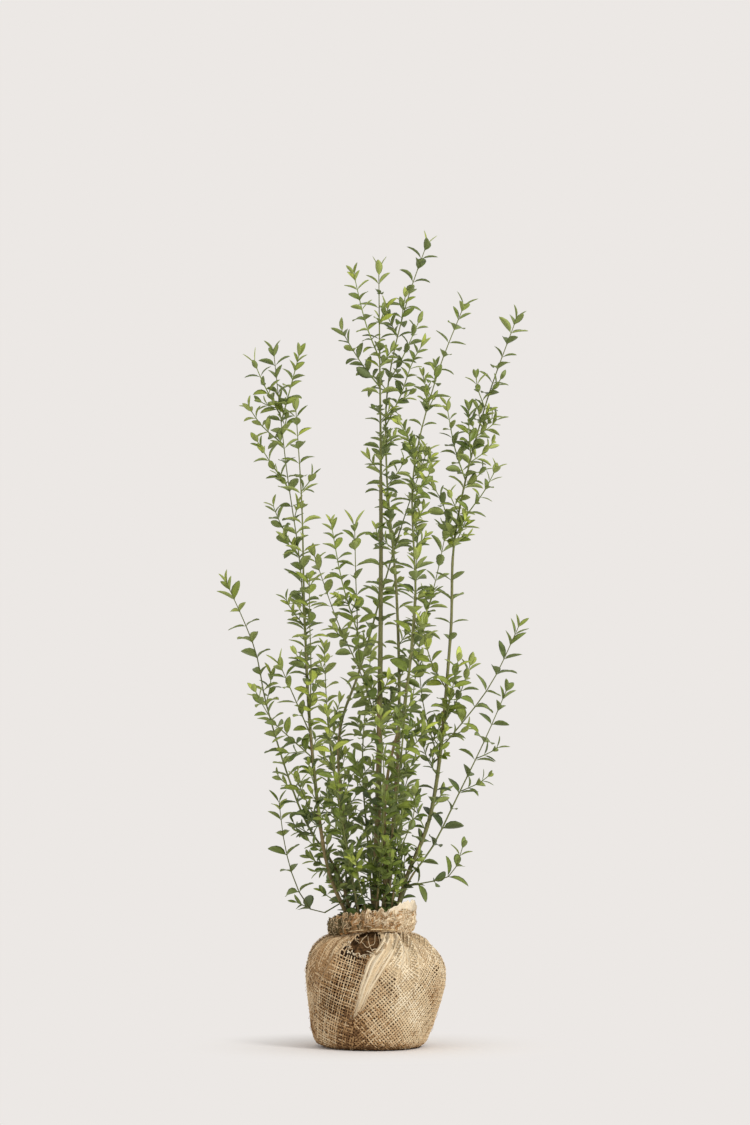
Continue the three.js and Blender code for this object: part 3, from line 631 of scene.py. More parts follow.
for number, (name, members) in enumerate(masses.items()):
    draw = seeded(11 + number)
    for member, start in members:
        radius = SLIM * mix(STEMS[member][0], BOUGH_TIP_R, start) if member in STEMS else TWIG_R["shoot"]
        grow(curves[member], start, radius, draw, 0 if member == name else 1, PLAIN.get(name, 1.0))

LEAF_TOPS = [(60, 77, 30), (84, 101, 38), (107, 123, 47), (128, 142, 54), (155, 167, 67), (182, 195, 86)]
LEAF_UNDERS = [(98, 110, 66), (114, 127, 74), (130, 143, 82), (146, 158, 88), (160, 172, 94),
               (174, 186, 104)]

stem_nodes = list(STEMS)
mass_nodes = [f"{name}_leaves" for name in masses]
piece("boughs", boughs, surfaces("bark", "green_bark"), stem_nodes)
piece("twigs", twigs, surfaces("green_wood", "fine_wood"), mass_nodes)
for k, leaves in enumerate(tones):
    top = material(f"leaf_top_{k}", LEAF_TOPS[k], 0.46, 0.14, 260, 0.15, 0.45)
    under = material(f"leaf_under_{k}", LEAF_UNDERS[k], 0.62, 0.1, 260, 0.1, 0.3)
    piece(f"leaves_{k}", leaves.pile(), [top, under], mass_nodes)


# The root ball
WRAP_PROFILE = [
    (FLAT_R, 0), (FLAT_R + 21, 9), (FLAT_R + 31, 30), (BALL_R, 68), (BALL_R + 2, 110), (BALL_R - 2, 142),
    (BALL_R - 15, 168), (BALL_R - 36, 185), (NECK_R + 2, 196), (NECK_R, WRAP_TOP),
]
profile = Curve([(r, 0, z) for r, z in WRAP_PROFILE])
SIDE_RUN = profile.length

# Pleats: for each its places as height and angle from bottom to top, its height and its width
PLEATS = [
    ([(56, 249), (74, 255), (120, 263), (152, 272), (175, 284), (200, 304)], 9, 7.5),
    ([(90, 213), (118, 219), (150, 230), (175, 242), (200, 252)], 6, 5.5),
    ([(84, 281), (130, 286), (165, 296), (200, 308)], 10, 5),
    ([(104, 303), (150, 308), (180, 317), (200, 328)], 10.5, 5),
    ([(118, 330), (165, 338), (200, 348)], 10, 5.5),
    ([(110, 188), (150, 200), (185, 216), (200, 230)], 4.5, 8),
]
pleat_draw = seeded(77)
for k in range(11):
    foot = 2 + 17 * k + 8 * pleat_draw()
    swirl = pleat_draw(-26, 26)
    low = pleat_draw(50, 120)
    PLEATS.append(([(low, foot), (mix(low, 200, 0.6), foot + 0.4 * swirl), (200, foot + swirl)],
                   pleat_draw(2, 5.5), pleat_draw(4.5, 8)))


def smoothed(places):
    """A pleat's places with further ones between them on a smooth line."""
    line = Curve([(angle, 0, height) for height, angle in places]).at(np.linspace(0, 1, 40))
    return list(zip(line[:, 2], line[:, 0]))


PLEATS = [(smoothed(places), high, wide) for places, high, wide in PLEATS]


def crest(height):
    """The angle of the large pleat between the open weave on the left and the slanting one on the right."""
    return np.interp(height, *zip(*PLEATS[0][0]))


def angle_gap(angle, centre):
    return (angle - centre + math.pi) % TAU - math.pi


def bulge(angle, height):
    """The ball's radius as a share of its profile's: broad swells, folds under the neck, and the sag."""
    pleats = smoothstep(height, 70, 180)
    broad = 0.03 * np.cos(2 * angle + 0.6) + 0.02 * np.cos(3 * angle - 1.1)
    folds = 0.03 * np.cos(9 * angle + 0.8) + 0.018 * np.cos(14 * angle)
    neck = smoothstep(height, 178, 196)
    right = np.clip(np.cos(angle), 0, 1)
    tucked = SAG["low"] * right**1.5 * (1 - smoothstep(height, 0, SAG["top"]))
    tucked = tucked + SAG["high"] * right**2 * smoothstep(height, 80, 130)
    return 1 + (broad * smoothstep(height, 0, 90) + 0.5 * folds * pleats) * (1 - neck) - tucked


def relief(angle, height):
    """How far the cloth stands out from the plain ball: pleats, the hollow under the tear, and lumps."""
    out = 1.3 * round_ripple(60, angle, height * 0.6, 42, 5) - 2.2
    for places, high, wide in PLEATS:
        heights, angles = zip(*places)
        centre = np.radians(np.interp(height, heights, angles))
        fade = smoothstep(height, heights[0] - 8, heights[0] + 30) * (1 - smoothstep(height, 192, 204))
        gap = np.abs(angle_gap(angle, centre)) * PLEAT_ARC
        out = out + high * fade * np.exp(-((gap / wide) ** 1.4))
    gathers = np.abs(np.sin(11 * angle + 1.4 * np.sin(3 * angle) + 0.7 * np.sin(7 * angle + 2)))
    out = out + 5.5 * (gathers - 0.55) * smoothstep(height, 132, 190)
    across = angle_gap(angle, math.radians(HOLLOW["angle"])) * PLEAT_ARC / HOLLOW["half_width"]
    hollow = np.exp(-(across**2) - ((height - HOLLOW["height"]) / HOLLOW["half_height"]) ** 2)
    out = (out - HOLLOW["deep"] * hollow) * smoothstep(height, 2, 24)
    return out * (1 - 0.8 * smoothstep(height, 190, 199))


def drift(height):
    """How far the ball's middle has moved towards the neck's."""
    return NECK_X * smoothstep(height, 120, 200)


def on_wrap(angle, run, lift):
    """Points of the cloth at an angle and a distance up its profile, with their outward directions."""
    share = np.clip(run / SIDE_RUN, 0, 1)
    place, along = profile.at(share), profile.along(share)
    radius, height = place[..., 0], place[..., 2]
    normal = polar(along[..., 2], angle, -along[..., 0])
    base = polar(radius * bulge(angle, height), angle, height, drift(height))
    return base + normal * (relief(angle, height) + lift)[..., None], normal


def height_at(run):
    return profile.at(np.clip(run / SIDE_RUN, 0, 1))[..., 2]


AROUND, UP = 400, 108  # faces of the cloth round the ball, and rows of points up its side
runs = np.linspace(0, SIDE_RUN, UP)


def run_at(height):
    """The distance up the ball's profile at a height."""
    return np.interp(height, height_at(runs), runs)


def one_on_wrap(angle, height, lift):
    """A single point of the cloth, with its outward direction."""
    points, normals = on_wrap(np.array([angle]), np.array([run_at(height)]), lift)
    return points[0], normals[0]


def spot(angle, height, middle, turn, reach, power):
    """1 in the middle of a round patch of the cloth, and 0 beyond its reach."""
    across = angle_gap(angle, math.radians(turn)) * ARC
    return np.exp(-((across / reach) ** power) - ((height - middle) / reach) ** power)


# Stains: height and angle of the middle, reach and strength. Those below 0 are paler: sun-bleached cloth,
# and on the right front, where the key lamp falls, partly painted light. Those above 0 are browner: brown
# stains, and the broad ones on the left, away from the lamp, partly painted shade.
STAINS = [
    (34, 246, 40, 1.15), (22, 285, 26, 0.3), (95, 331, 20, 0.9), (60, 345, 20, 0.5),
    (28, 20, 30, 0.9), (120, 60, 26, 0.6), (40, 110, 34, 0.9), (130, 150, 24, 0.6), (36, 190, 30, 0.8),
    (140, 262, 22, 0.5), (168, 292, 30, -1.1), (130, 296, 24, -0.7), (150, 345, 30, -0.8),
    (155, 20, 34, -0.8), (160, 100, 34, -0.7), (150, 206, 60, 0.5), (75, 300, 34, -0.7),
    (160, 260, 11, 0.8), (180, 322, 30, -0.8), (110, 228, 60, 0.34), (60, 318, 60, -0.38),
]


def stain(angle, height):
    """How brown the cloth is, from about -1, bleached or lit by painted light, to 1, stained or in painted
    shade.
    """
    total = 0.14 * round_ripple(60, angle, height, 30, 21)
    for middle, turn, reach, strength in STAINS:
        total = total + strength * spot(angle, height, middle, turn, reach, 2)
    # The browner band at the foot, where the cloth meets the floor, is a painted shade.
    return total + 0.8 * (1 - smoothstep(height, 3, 16))


# Where the cloth is closely woven and lies smooth: height and angle of the middle, and reach
SMOOTH = [(160, 212, 40), (168, 296, 40), (180, 330, 34), (185, 20, 30), (170, 110, 40)]


def density(angle, height):
    """1 where the threads lie so close that the weave hardly shows."""
    total = sum(spot(angle, height, *patch, 4) for patch in SMOOTH)
    return np.minimum(total, 1) * (1 - openness(angle, height))


def in_tear(angle, height, grow_by):
    """Whether a place lies in the ragged hole, widened by some degrees and millimetres."""
    ragged = 0.13 * round_ripple(70, angle, height, 13, 9)
    across = angle_gap(angle, np.radians(TEAR["angle"] + 0.35 * (height - TEAR["height"])))
    across = across / math.radians(TEAR["half_angle"] + grow_by)
    up = (height - TEAR["height"]) / (TEAR["half_height"] + grow_by)
    return across**2 + np.abs(up) ** 2.4 < 1 + ragged


def openness(angle, height):
    """1 where the weave is pulled open below the tear, 0 where the cloth is dense."""
    rise = smoothstep(height, 60, 165)
    middle = np.radians(mix(227, 253, rise))
    across = np.exp(-((angle_gap(angle, middle) * ARC / mix(35, 28, rise)) ** 4))
    return across * smoothstep(height, 44, 76) * (1 - smoothstep(height, 172, 186))


# The cloth, with its hole cut out, and the rings of points of its flat underside
wrap = Pile()
BOTTOM_RINGS, BOTTOM = (4, 30, 56, 76), 0.4
angles = TAU * np.arange(AROUND + 1) / AROUND
angle_grid, run_grid = np.meshgrid(angles[:-1], runs)
cloth, _ = on_wrap(angle_grid, run_grid, -0.6 + 1.1 * density(angle_grid, height_at(run_grid)))
bottom = [polar(radius, angles[:-1], BOTTOM) for radius in BOTTOM_RINGS]
wrap.grid(np.concatenate([np.array(bottom), cloth]), 0, closed=True)
faces = np.array(wrap.faces)
middle_run = np.concatenate([np.full(len(bottom), 0.0), (runs[:-1] + runs[1:]) / 2])
middle_angle = (angles[:-1] + angles[1:]) / 2
face_angle, face_run = np.meshgrid(middle_angle, middle_run)
face_height = height_at(face_run)
torn = in_tear(face_angle, face_height, -1.0) & (face_run > 0)
open_here = openness(face_angle, face_height)
# brown holds stain(): stains and bleaching, with painted shade on the left and at the foot and painted light
# on the right front. Where the weave is open the sheet is darkest, a painted shade in its wide gaps.
brown = stain(face_angle, face_height)
tone = np.where(open_here > 0.3, 1, np.where(brown > 0.7, 2, 0))
ridge = np.abs(angle_gap(face_angle, np.radians(crest(face_height)))) * PLEAT_ARC
dense = density(face_angle, face_height)
tone = np.where((ridge < 8) & (face_height > 60) & (face_height < 200) | (brown < -0.5), 3, tone)
tone = np.where((dense > 0.4) & (tone == 0), np.where(brown < 0.1, 3, 4), tone)
kept = ~torn.ravel()
wrap.faces = faces[kept].tolist()
wrap.tones = tone.ravel()[kept].tolist()

CLOTH = surfaces(*(f"cloth_{name}" for name in ("base", "dark", "stain", "cream", "sand")))
THREADS = surfaces(*(f"thread_{name}" for name in ("pale", "mid", "warm", "brown", "cream", "moss")))
thicken(piece("burlap_sheet", wrap, CLOTH, ["burlap_wrap"]), THICK["cloth"], -1)


def strand(pile, points, normals, width, high, tone):
    """A flattened thread with three sides along points that lie on a surface."""
    count = len(points)
    along = unit(np.gradient(points, axis=0))
    left = unit(np.cross(normals, along)) * (np.broadcast_to(width, count)[:, None] / 2)
    crown = points + normals * np.broadcast_to(high, count)[:, None]
    ring = np.stack([points - left, crown, points + left], axis=1)
    first = pile.count
    pile.grid(ring, tone if np.isscalar(tone) else np.repeat(tone, 3), closed=True)
    last = first + 3 * (count - 1)
    pile.join([[first, first + 2, first + 1], [last, last + 1, last + 2]], tone)


# Steps of how brown a place of the cloth is, painted light and shade included, and the thread for each
SHADE_AND_GRIME = (-0.7, 0.08, 0.6, 1.05)
BY_SHADE_AND_GRIME = (4, 0, 1, 2, 3)


def weave(pile, pitch, cover, slant, low_angle, high_angle, family, seed):
    """One family of a patch's threads. slant turns the weave from upright; the patch's sides are angles
    that depend on height."""
    draw = seeded(seed)
    turn = math.radians(slant)
    start, stop = math.radians(low_angle(100.0)) - 1.0, math.radians(high_angle(100.0)) + 1.0
    corners = [(BALL_R * a, s) for a in (start, stop) for s in (0, SIDE_RUN)]
    across = [(x * math.cos(turn) + y * math.sin(turn)) / pitch for x, y in corners]
    upward = [(-x * math.sin(turn) + y * math.cos(turn)) / pitch for x, y in corners]
    own, other = (across, upward) if family == 0 else (upward, across)
    step = 0.5
    for k in range(math.floor(min(own)), math.ceil(max(own)) + 1):
        t = np.arange(math.floor(min(other)), math.ceil(max(other)), step)
        phase, weight, tint = TAU * draw(), draw(0.82, 1.15), draw()
        wander = k + 0.13 * np.sin(t / 4.1 + phase) + 0.07 * np.sin(t / 1.7 + 2 * phase)
        u, v = (wander, t) if family == 0 else (t, wander)
        x = pitch * (u * math.cos(turn) - v * math.sin(turn))
        s = pitch * (u * math.sin(turn) + v * math.cos(turn))
        angle = x / BALL_R
        keep = (s > 1) & (s < SIDE_RUN - 2)
        height = height_at(s)
        keep &= (angle > np.radians(low_angle(height))) & (angle < np.radians(high_angle(height)))
        fray = 7 * (draw() - 0.6)
        keep &= ~in_tear(angle, height, fray)
        if keep.sum() < 3:
            continue
        loose = openness(angle, height)
        sign = 1 if family == 0 else -1
        close = density(angle, height)
        over = 0.42 * sign * np.cos(math.pi * (t + k)) * mix(0.8, 1.3, loose) * mix(1, 0.55, close)
        points, normals = on_wrap(angle, s, 0.25 + over)
        width = (mix(cover, 0.42, loose) + 0.3 * close) * weight * pitch
        uneven = np.sin(1.7 * t + 9 * tint) + np.sin(0.61 * t + 5 * phase)
        # The threads' browns follow stain(), with its painted shade on the left and at the foot and its
        # painted light on the right front.
        shade_and_grime = stain(angle, height) + (0.8 * (tint - 0.5) + 0.16 * uneven) * (1 - 0.5 * close)
        tone = np.array(BY_SHADE_AND_GRIME)[np.digitize(shade_and_grime, SHADE_AND_GRIME)]
        edges = np.flatnonzero(np.diff(np.concatenate([[0], keep.astype(int), [0]])))
        for a, b in zip(edges[::2], edges[1::2]):
            if b - a > 2:
                strand(pile, points[a:b], normals[a:b], width[a:b], 0.7 * weight, tone[a : b - 1])


SEAM = 203  # the angle behind where the two patches of weave meet again


def crest_gap(height):
    """Half the width in degrees that the weave on either side leaves to the large pleat."""
    return mix(0, 1.9, smoothstep(height, 56, 84)) + 3.6 * smoothstep(height, 100, 190)


# The two patches: pitch of the threads, the share of it that they cover, slant, and the angles of the sides
PATCHES = {
    "left": (5.3, 0.65, -17, lambda h: SEAM, lambda h: crest(h) - crest_gap(h)),
    "right": (4.9, 0.62, 40, lambda h: crest(h) + crest_gap(h), lambda h: SEAM + 361),
}
for family, name in enumerate(("warp", "weft")):
    for k, (side, patch) in enumerate(PATCHES.items()):
        pile = Pile()
        weave(pile, *patch, family, 41 + 2 * k + family)
        piece(f"burlap_{name}_{side}", pile, THREADS, ["burlap_wrap"])

# Threads drawn together along the large pleat, with others that cross it
pleat = Pile()
STRANDS, CROSSINGS = 25, 40
draw = seeded(67)
for k in range(STRANDS):
    low = 54 + 4 * abs(k - 12) * draw()
    run = np.linspace(run_at(low), run_at(200), 60)
    height = height_at(run)
    fan = mix(0.5, 1.8, smoothstep(height, 70, 190))
    off = (k - 11) * fan + 0.35 * np.sin(run / draw(9, 21) + TAU * draw()) + 0.4 * (draw() - 0.5)
    angle = np.radians(crest(height)) + off / PLEAT_ARC
    ridge = np.cos(TAU * (k - 3) / 6) * smoothstep(height, 70, 130)
    lift = 0.8 + 1.1 * ridge + 0.35 * draw() + 0.2 * np.sin(run / 5 + TAU * draw())
    points, normals = on_wrap(angle, run, mix(-0.8, lift, smoothstep(height, low, low + 26)))
    # Strands in the grooves between the ridges take darker threads, a painted shade in the creases.
    shade = [4, 4, 0, 4, 0] if k % 6 != 0 else [1, 2, 1, 0, 2]
    strand(pleat, points, normals, 1.7 * fan + 0.5, 0.8, shade[int(5 * draw())])
for _ in range(CROSSINGS):
    height = draw(66, 196)
    fan = mix(0.4, 1.9, float(smoothstep(height, 80, 190)))
    across = np.linspace(-1, 1, 11)
    run = run_at(height) + across * draw(-6, 10)
    angle = math.radians(crest(height)) + 11 * across * fan * draw(0.5, 1) / PLEAT_ARC
    points, normals = on_wrap(angle, run, 0.9 + 0.3 * draw())
    strand(pleat, points, normals, draw(0.9, 1.6), 0.5, 0 if draw() < 0.7 else 4)


def gather(low_angle, high_angle, count, heights, swirl, shades):
    """Threads that fan out over the shoulder from the neck and sink into the weave below."""
    for k in range(count):
        low = draw(*heights)
        run = np.linspace(run_at(low), run_at(201), 34)
        height = height_at(run)
        start = mix(low_angle, high_angle, (k + 0.4 * draw()) / count)
        angle = np.radians(start + swirl * (1 - smoothstep(height, 120, 200)))
        angle = angle + 0.006 * np.sin(run / draw(8, 20) + TAU * draw())
        sink = smoothstep(height, low, low + 16)
        lift = mix(-0.6, 1.0, sink) + 0.35 * np.sin(TAU * k / 7 + 3 * draw()) * sink
        points, normals = on_wrap(angle, run, lift)
        wide = mix(1.1, 2.2, smoothstep(-height, -185, -140)) * (high_angle - low_angle) / count
        wide = wide * draw(0.9, 1.3)
        strand(pleat, points, normals, wide * sink + 0.3, 0.45, shades[int(len(shades) * draw())])


gather(300, 392, 84, (132, 166), -9, [0, 4, 4, 0, 1])
gather(168, 236, 62, (146, 176), -8, [1, 1, 2, 0, 2])
piece("burlap_pleat", pleat, THREADS, ["burlap_wrap"])

# Soil: lumpy, seen through the tear and inside the collar
soil = Pile()
SOIL_PROFILE = [
    (0, 224.5), (18, 224.5), (34, 223), (46, 221), (52, 214), (54, 200), (74, 186), (96, 168), (108, 142),
    (113, 110), (111, 68), (105, 30), (80, 4), (2, 4),
]
SOIL_UP, SOIL_AROUND, CRUMBS = 96, 140, 150
ring = Curve([(r, 0, z) for r, z in SOIL_PROFILE]).at(np.linspace(0, 1, SOIL_UP))
r, a = np.meshgrid(ring[:, 0], circle(SOIL_AROUND), indexing="ij")
z = np.repeat(ring[:, 2:3], SOIL_AROUND, axis=1)
lumps = round_ripple(r, a, z, 15, 61) + 0.7 * round_ripple(r, a, z, 8, 62)
wider = np.where(z > 196, 1, bulge(a, z))
shrink = (3.4 * lumps - 6.5) * smoothstep(r, 0, 20)
ground = polar((r + shrink) * wider, a, z + 1.4 * lumps * (z > 210), drift(z))
soil.grid(ground[:, ::-1], 0, closed=True)

# Crumbs that lie in the tear
draw = seeded(59)
round_angle, tilt = np.meshgrid(circle(8), np.linspace(-math.pi / 2, math.pi / 2, 6))
for _ in range(CRUMBS):
    angle = math.radians(TEAR["angle"] + 24 * (2 * draw() - 1))
    height = TEAR["height"] + 24 * (2 * draw() - 1)
    size = mix(1.2, 4.2, draw() ** 2)
    inside, normal = one_on_wrap(angle, height, 0.0)
    middle = inside - normal * draw(7.5, 11)
    rough = 1 + 0.2 * np.sin(3 * round_angle + TAU * draw()) + 0.16 * np.sin(5 * tilt + TAU * draw())
    ball = polar(np.cos(tilt), round_angle, 0.8 * np.sin(tilt))
    soil.grid(middle + size * rough[..., None] * ball, 1 if draw() < 0.4 else 0, closed=True)
piece("soil_lumps", soil, surfaces("soil_brown", "soil_dark"), ["soil"])

# Collar: the rolled, ruffled edge of the cloth, brown on the left and sandy on the right
SANDY = math.radians(325)  # the angle round the neck where the collar is palest


def folds(turn):
    """The gathers of the collar at an angle round the neck, from about -1 to 1."""
    wave = np.sin(19 * turn + 2.4 * np.sin(3 * turn + 1)) + 0.55 * np.sin(33 * turn + 3 * np.sin(2 * turn))
    return wave / 1.4


def hem(turn):
    """Height of the collar's lower edge, which the twine pulls up in front."""
    return 190.5 + 12 * front_share(turn) ** 1.5 + 1.5 * np.cos(turn)


def front_share(turn):
    return np.clip(-np.sin(turn), 0, 1)


def on_collar(turn, around, lift=0.0):
    """Points of the collar at an angle round the neck and an angle round its own section."""
    rough = round_ripple(62, turn, 16 * np.sin(around), 11, 71)
    left = 0.5 - 0.5 * np.cos(turn)
    wide = COLLAR["half_width"] - 3.5 + 1.4 * folds(turn) * (np.cos(around) > -0.4) + 1.2 * rough + lift
    tall = mix(10.5, 14, left) + 1.5 * np.sin(5 * turn + 1) * (np.sin(around) > 0) + 1.4 * rough + lift
    radius = COLLAR["ring"] - 4.5 + wide * np.sign(np.cos(around)) * np.abs(np.cos(around)) ** 0.8
    height = COLLAR["middle"] + mix(2.0, -5.0, left) + tall * np.sin(around)
    return polar(radius, turn, height, NECK_X)


def on_frill(turn, rise, lift=0.0):
    """Points of the gathered edge of the cloth that stands up round the collar."""
    right = 0.5 + 0.5 * np.cos(turn)
    ragged = 1 + 0.07 * np.sin(17 * turn + 2 * np.sin(5 * turn)) + 0.05 * np.sin(41 * turn)
    height = hem(turn) + rise * mix(31, 39, right) * ragged
    belly = 5 * np.sin(math.pi * rise)
    low_spread = mix(mix(67, 63.5, right), 62.5, front_share(turn))
    spread = mix(low_spread, mix(70, 72, right), rise) + belly
    spread = spread + (1.0 + 2.6 * rise) * folds(turn) + lift
    spread = spread + 1.1 * round_ripple(62, turn, 30 * rise, 9, 74)
    return polar(spread, turn, height, NECK_X)


COLLAR_AROUND, COLLAR_SECTION = 320, 26
turn_grid, section_grid = np.meshgrid(circle(COLLAR_AROUND), circle(COLLAR_SECTION))
points = on_collar(turn_grid, section_grid)
collar = Pile()
collar.grid(np.concatenate([points, points[:1]])[::-1], 0, closed=True)
side_tone = np.cos(turn_grid - math.radians(330))
side_tone = side_tone + 0.5 * round_ripple(60, turn_grid, 10 * section_grid, 14, 72)
collar.tones = np.where(side_tone > 0.15, 1, 0)[::-1].ravel().tolist()
piece("collar_roll", collar, surfaces("collar_brown", "collar_sand"), ["burlap_collar"])

# Frill: the gathered edge round the collar
frill = Pile()
FRILL_AROUND, FRILL_UP = 420, 16
turn_grid, rise_grid = np.meshgrid(circle(FRILL_AROUND), np.linspace(0, 1, FRILL_UP))
frill.grid(on_frill(turn_grid, rise_grid), 0, closed=True)
side_tone = np.cos(turn_grid - SANDY) + 0.55 * round_ripple(60, turn_grid, 30 * rise_grid, 12, 75)
side_tone = side_tone + 0.3 * folds(turn_grid)
frill.tones = np.digitize(side_tone, [-0.1, 0.72])[:-1].ravel().tolist()
frill_surfaces = surfaces("frill_brown", "frill_sand", "frill_pale")
thicken(piece("collar_frill", frill, frill_surfaces, ["burlap_collar"]), THICK["frill"], 0)

# Loose fibres on the frill, the roll and the cloth
FRILL_FIBRES, ROLL_FIBRES, CLOTH_FIBRES = 1500, 500, 1100
fibres = Pile()
draw = seeded(83)
collar_middle = np.array([NECK_X, 0, COLLAR["middle"]])


def fibre_tone(turn, draw):
    """Fibres are sandy on the right of the collar and brown on its left."""
    side = math.cos(turn - SANDY) + 0.7 * (draw() - 0.5)
    shades = (5, 5, 0, 1, 5) if side < 0.1 else (2, 1, 3, 0) if side < 0.72 else (4, 4, 0, 1)
    return shades[int(len(shades) * draw())]


def course(first, second, across, upward, length, heading, count):
    """Places along a fibre in a surface's two directions, from its start, and their shares of its length.
    across and upward are how many millimetres a step of 1 in either direction is."""
    t = np.linspace(0, 1, count)
    first = first + t * length * math.cos(heading) / across
    return first, second + t * length * math.sin(heading) / upward, t


for _ in range(FRILL_FIBRES):
    turn, rise = TAU * draw(), draw()
    length, heading = draw(4, 15), draw(-0.4, 2.0)
    turns, rises, t = course(turn, rise, 74, 30, length, heading, 5)
    lift = 0.9 + mix(0, 2.6, draw() ** 2) * t + 0.4 * np.sin(5 * t + TAU * draw())
    points = on_frill(turns, np.minimum(rises, 1.04), lift)
    normals = unit((points - collar_middle) * np.array([1, 1, 0.4]))
    strand(fibres, points, normals, draw(0.7, 1.5), 0.7, fibre_tone(turn, draw))
for _ in range(ROLL_FIBRES):
    turn, around = TAU * draw(), draw(0.2, 2.6)
    length, heading = draw(5, 16), draw(-1.2, 1.2)
    turns, arounds, t = course(turn, around, COLLAR["ring"], 13, length, heading, 5)
    points = on_collar(turns, arounds, 0.4 + mix(0, 3.0, draw() ** 2) * t)
    normals = unit((points - collar_middle) * np.array([1, 1, 1.2]))
    strand(fibres, points, normals, draw(0.7, 1.5), 0.7, fibre_tone(turn, draw))
for _ in range(CLOTH_FIBRES):
    angle, run = TAU * draw(), draw(0.05, 0.97) * SIDE_RUN
    length, heading = draw(3, 11), TAU * draw()
    turns, ups, t = course(angle, run, BALL_R, 1, length, heading, 4)
    lift = 1.0 + mix(0.3, 3.0, draw() ** 2) * t
    if in_tear(angle, height_at(run), 2.0):
        continue
    points, normals = on_wrap(turns, ups, lift)
    strand(fibres, points, normals, 0.6, 0.5, 0 if draw() < 0.6 else 2)
piece("loose_fibres", fibres, THREADS, ["burlap_collar"])

# Frayed threads that hang and curl in the tear
curls = Pile()
CURLS = 40
draw = seeded(97)
for k in range(CURLS):
    turn = math.radians(mix(150, 345, k / CURLS) + 6 * draw())
    reach = TEAR["half_height"] + 1.5
    height = TEAR["height"] + reach * math.sin(turn)
    angle = math.radians(TEAR["angle"] + (TEAR["half_angle"] + 1) * math.cos(turn))
    length, coil = draw(3, 10) * (2.0 if draw() < 0.2 else 1), draw(0.6, 2.6)
    t = np.linspace(0, 1, 20)
    root, normal = one_on_wrap(angle, height, 0.6)
    side = np.array([-math.sin(angle), math.cos(angle), 0])
    upward = np.cross(normal, side)
    inward = -math.cos(turn) * side - math.sin(turn) * upward
    aim = inward * draw(0.2, 1) + 1.6 * (draw() - 0.5) * side + 0.7 * (draw() - 0.5) * upward
    spin = TAU * (draw() + t * draw(0.3, 1.9))
    points = (root + t[:, None] * length * unit(aim) + 2.4 * np.sin(math.pi * t)[:, None] * normal
              + coil * t[:, None] * (np.cos(spin)[:, None] * side + np.sin(spin)[:, None] * upward))
    width = draw(0.8, 1.6)
    strand(curls, points, np.tile(normal, (20, 1)), width, 0.9, 4 if draw() < 0.5 else 1)

# Threads that hang across the tear's upper edge: their angles, and how far they hang
for low, high, drop in ((255, 276, 19), (246, 262, 10), (264, 281, 27)):
    t = np.linspace(0, 1, 40)
    angle = np.radians(mix(low, high, t))
    height = mix(193, 197, t) - drop * np.sin(math.pi * t) ** 0.8 + 1.2 * np.sin(17 * t + low)
    points, normals = on_wrap(angle, run_at(height), 0.8 + 1.5 * np.sin(math.pi * t))
    strand(curls, points, normals, 1.0, 0.8, 0)
piece("frayed_threads", curls, THREADS, ["burlap_wrap"])

# Twine: two twisted strands round the neck
twine = Pile()
t = np.linspace(0, 1, 361)
for phase in (0, math.pi):
    around = TAU * t
    twist = phase + TWINE["twists"] * TAU * t
    front = front_share(around)
    radius = TWINE["ring"] + 1 + 4 * front + 0.6 * np.cos(twist)
    height = TWINE["height"] + 6.5 * front**1.5 + 2 * np.cos(around) + 0.6 * np.sin(twist)
    height = height + 0.8 * np.sin(3 * around)
    middle = Curve(polar(radius, around, height, NECK_X)[::3])
    tube(twine, middle, np.linspace(0, 1, 300), np.full(300, TWINE["thread"]), 6)
piece("twine_twist", twine, surfaces("twine_straw"), ["neck_twine"])

# Flap: the loose pale corner of the cloth that stands up on the front right of the collar
flap = Pile()
share, rise = np.meshgrid(np.linspace(0, 1, 70), np.linspace(0, 1, 26))
angle = np.radians(mix(FLAP["from"], FLAP["to"], share))
ragged = 1 + 0.05 * np.sin(37 * share) + 0.04 * np.sin(61 * share + 1)
crest_height = 0.82 * FLAP["height"] * (0.4 + 0.6 * np.sin(math.pi * share) ** 0.45) * ragged
wave = 1.5 * np.sin(11 * angle) * rise + 0.9 * np.sin(23 * angle + 4 * rise) * rise
radius = FLAP["ring"] + FLAP["flare"] * (rise**2 - 0.35) + wave
sheet = polar(radius, angle, FLAP["foot"] + rise * crest_height, NECK_X)
# Low on the flap's left the faces take a brown, a painted shadow at the flap's foot.
painted_shadow_faces = (share < 0.3) & (rise < 0.5 - share)
flap.grid(sheet, painted_shadow_faces[:-1, :-1].astype(int).ravel().tolist())
flap_surfaces = surfaces("flap_cream", "flap_painted_shadow")
thicken(piece("flap_cloth", flap, flap_surfaces, ["burlap_flap"]), THICK["flap"], 0)

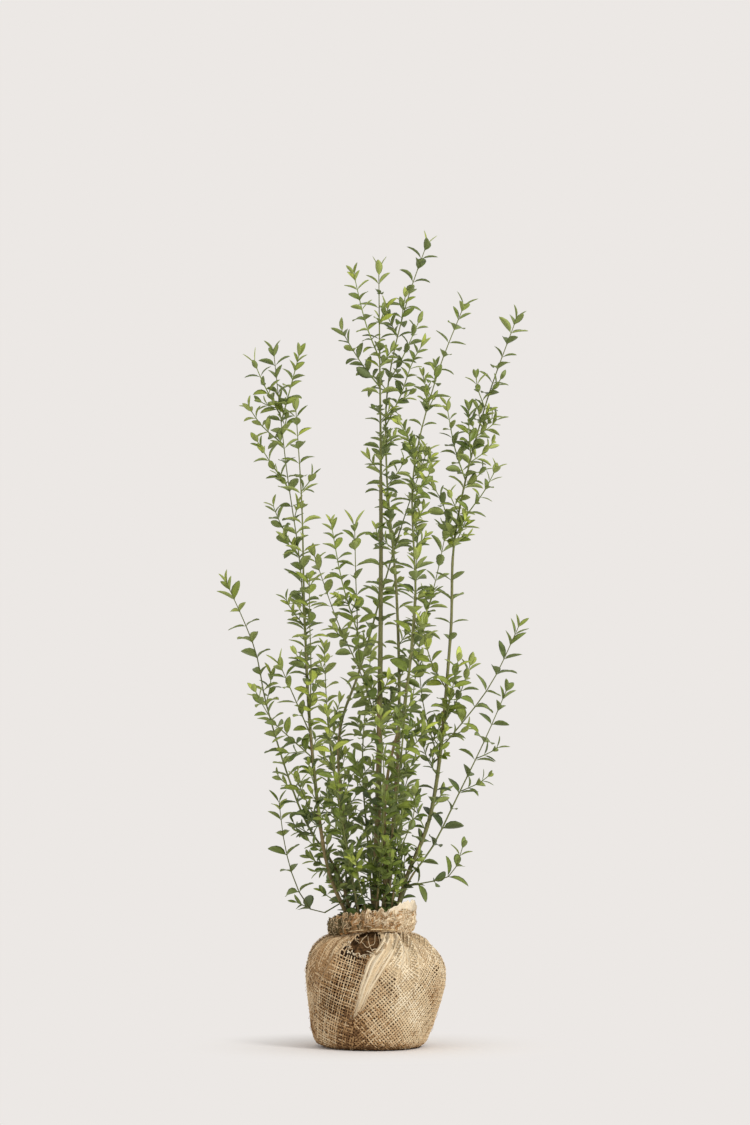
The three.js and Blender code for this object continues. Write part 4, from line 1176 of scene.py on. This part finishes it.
# Floor, light and camera. The floor is a pale disc that fades into the background round its edge.
BACKGROUND = linear(236, 232, 229)
FLOOR_R, FADE_FROM, FADE_TO = 1.4, 0.1, 0.36
FLOOR_SIDES = 96
rim = polar(FLOOR_R, circle(FLOOR_SIDES), 0)
floor_mesh = bpy.data.meshes.new("floor")
floor_mesh.from_pydata(rim.tolist(), [], [list(range(FLOOR_SIDES))])
floor = placed("floor", floor_mesh)
(floor_pale,) = surfaces("floor_pale")
nodes, links = floor_pale.node_tree.nodes, floor_pale.node_tree.links
where = nodes.new("ShaderNodeTexCoord")
distance = nodes.new("ShaderNodeVectorMath")
distance.operation = "LENGTH"
fade = nodes.new("ShaderNodeMapRange")
fade.interpolation_type = "SMOOTHSTEP"
fade.inputs["From Min"].default_value = FADE_FROM
fade.inputs["From Max"].default_value = FADE_TO
glow = nodes.new("ShaderNodeEmission")
glow.inputs["Color"].default_value = BACKGROUND
blend = nodes.new("ShaderNodeMixShader")
links.new(where.outputs["Object"], distance.inputs[0])
links.new(distance.outputs["Value"], fade.inputs["Value"])
links.new(fade.outputs["Result"], blend.inputs["Fac"])
links.new(nodes["Principled BSDF"].outputs["BSDF"], blend.inputs[1])
links.new(glow.outputs["Emission"], blend.inputs[2])
links.new(blend.outputs["Shader"], nodes["Material Output"].inputs["Surface"])
floor_mesh.materials.append(floor_pale)

scene = bpy.context.scene
world = bpy.data.worlds.new("studio")
scene.world = world
world.use_nodes = True
world.node_tree.nodes["Background"].inputs["Color"].default_value = BACKGROUND
world.node_tree.nodes["Background"].inputs["Strength"].default_value = 1.0
scene.view_settings.view_transform = "Standard"


def lamp(name, place, target, size, power, colour=(1, 1, 1)):
    data = bpy.data.lights.new(name, "AREA")
    data.shape, data.size, data.energy, data.color = "DISK", size, power, colour
    made = placed(name, data)
    made.location = place
    aim = np.array(target) - np.array(place)
    made.rotation_euler = (math.atan2(math.hypot(aim[0], aim[1]), -aim[2]), 0,
                           math.atan2(aim[1], aim[0]) - math.pi / 2)


lamp("key", (2.2, -2.5, 2.6), (0, 0, 0.6), 1.1, 88, (1, 0.98, 0.95))
lamp("fill", (-2.4, -2.0, 1.6), (0, 0, 0.5), 1.6, 6)

camera_data = bpy.data.cameras.new("camera")
camera = placed("camera", camera_data)
scene.camera = camera
ASIDE, DISTANCE, EYE, MIDDLE = -0.0035, 6.0, 0.5, 0.843
SENSOR, VIEW_HEIGHT = 36, 1125 * 0.00175  # the photo's height at 1.75 mm to a pixel
camera.location = (ASIDE, -DISTANCE, EYE)
camera.rotation_euler = (math.pi / 2 + math.atan2(MIDDLE - EYE, DISTANCE), 0, 0)
camera_data.sensor_fit = "AUTO"
camera_data.sensor_width = SENSOR
camera_data.lens = SENSOR * DISTANCE / VIEW_HEIGHT
camera_data.clip_end = 100
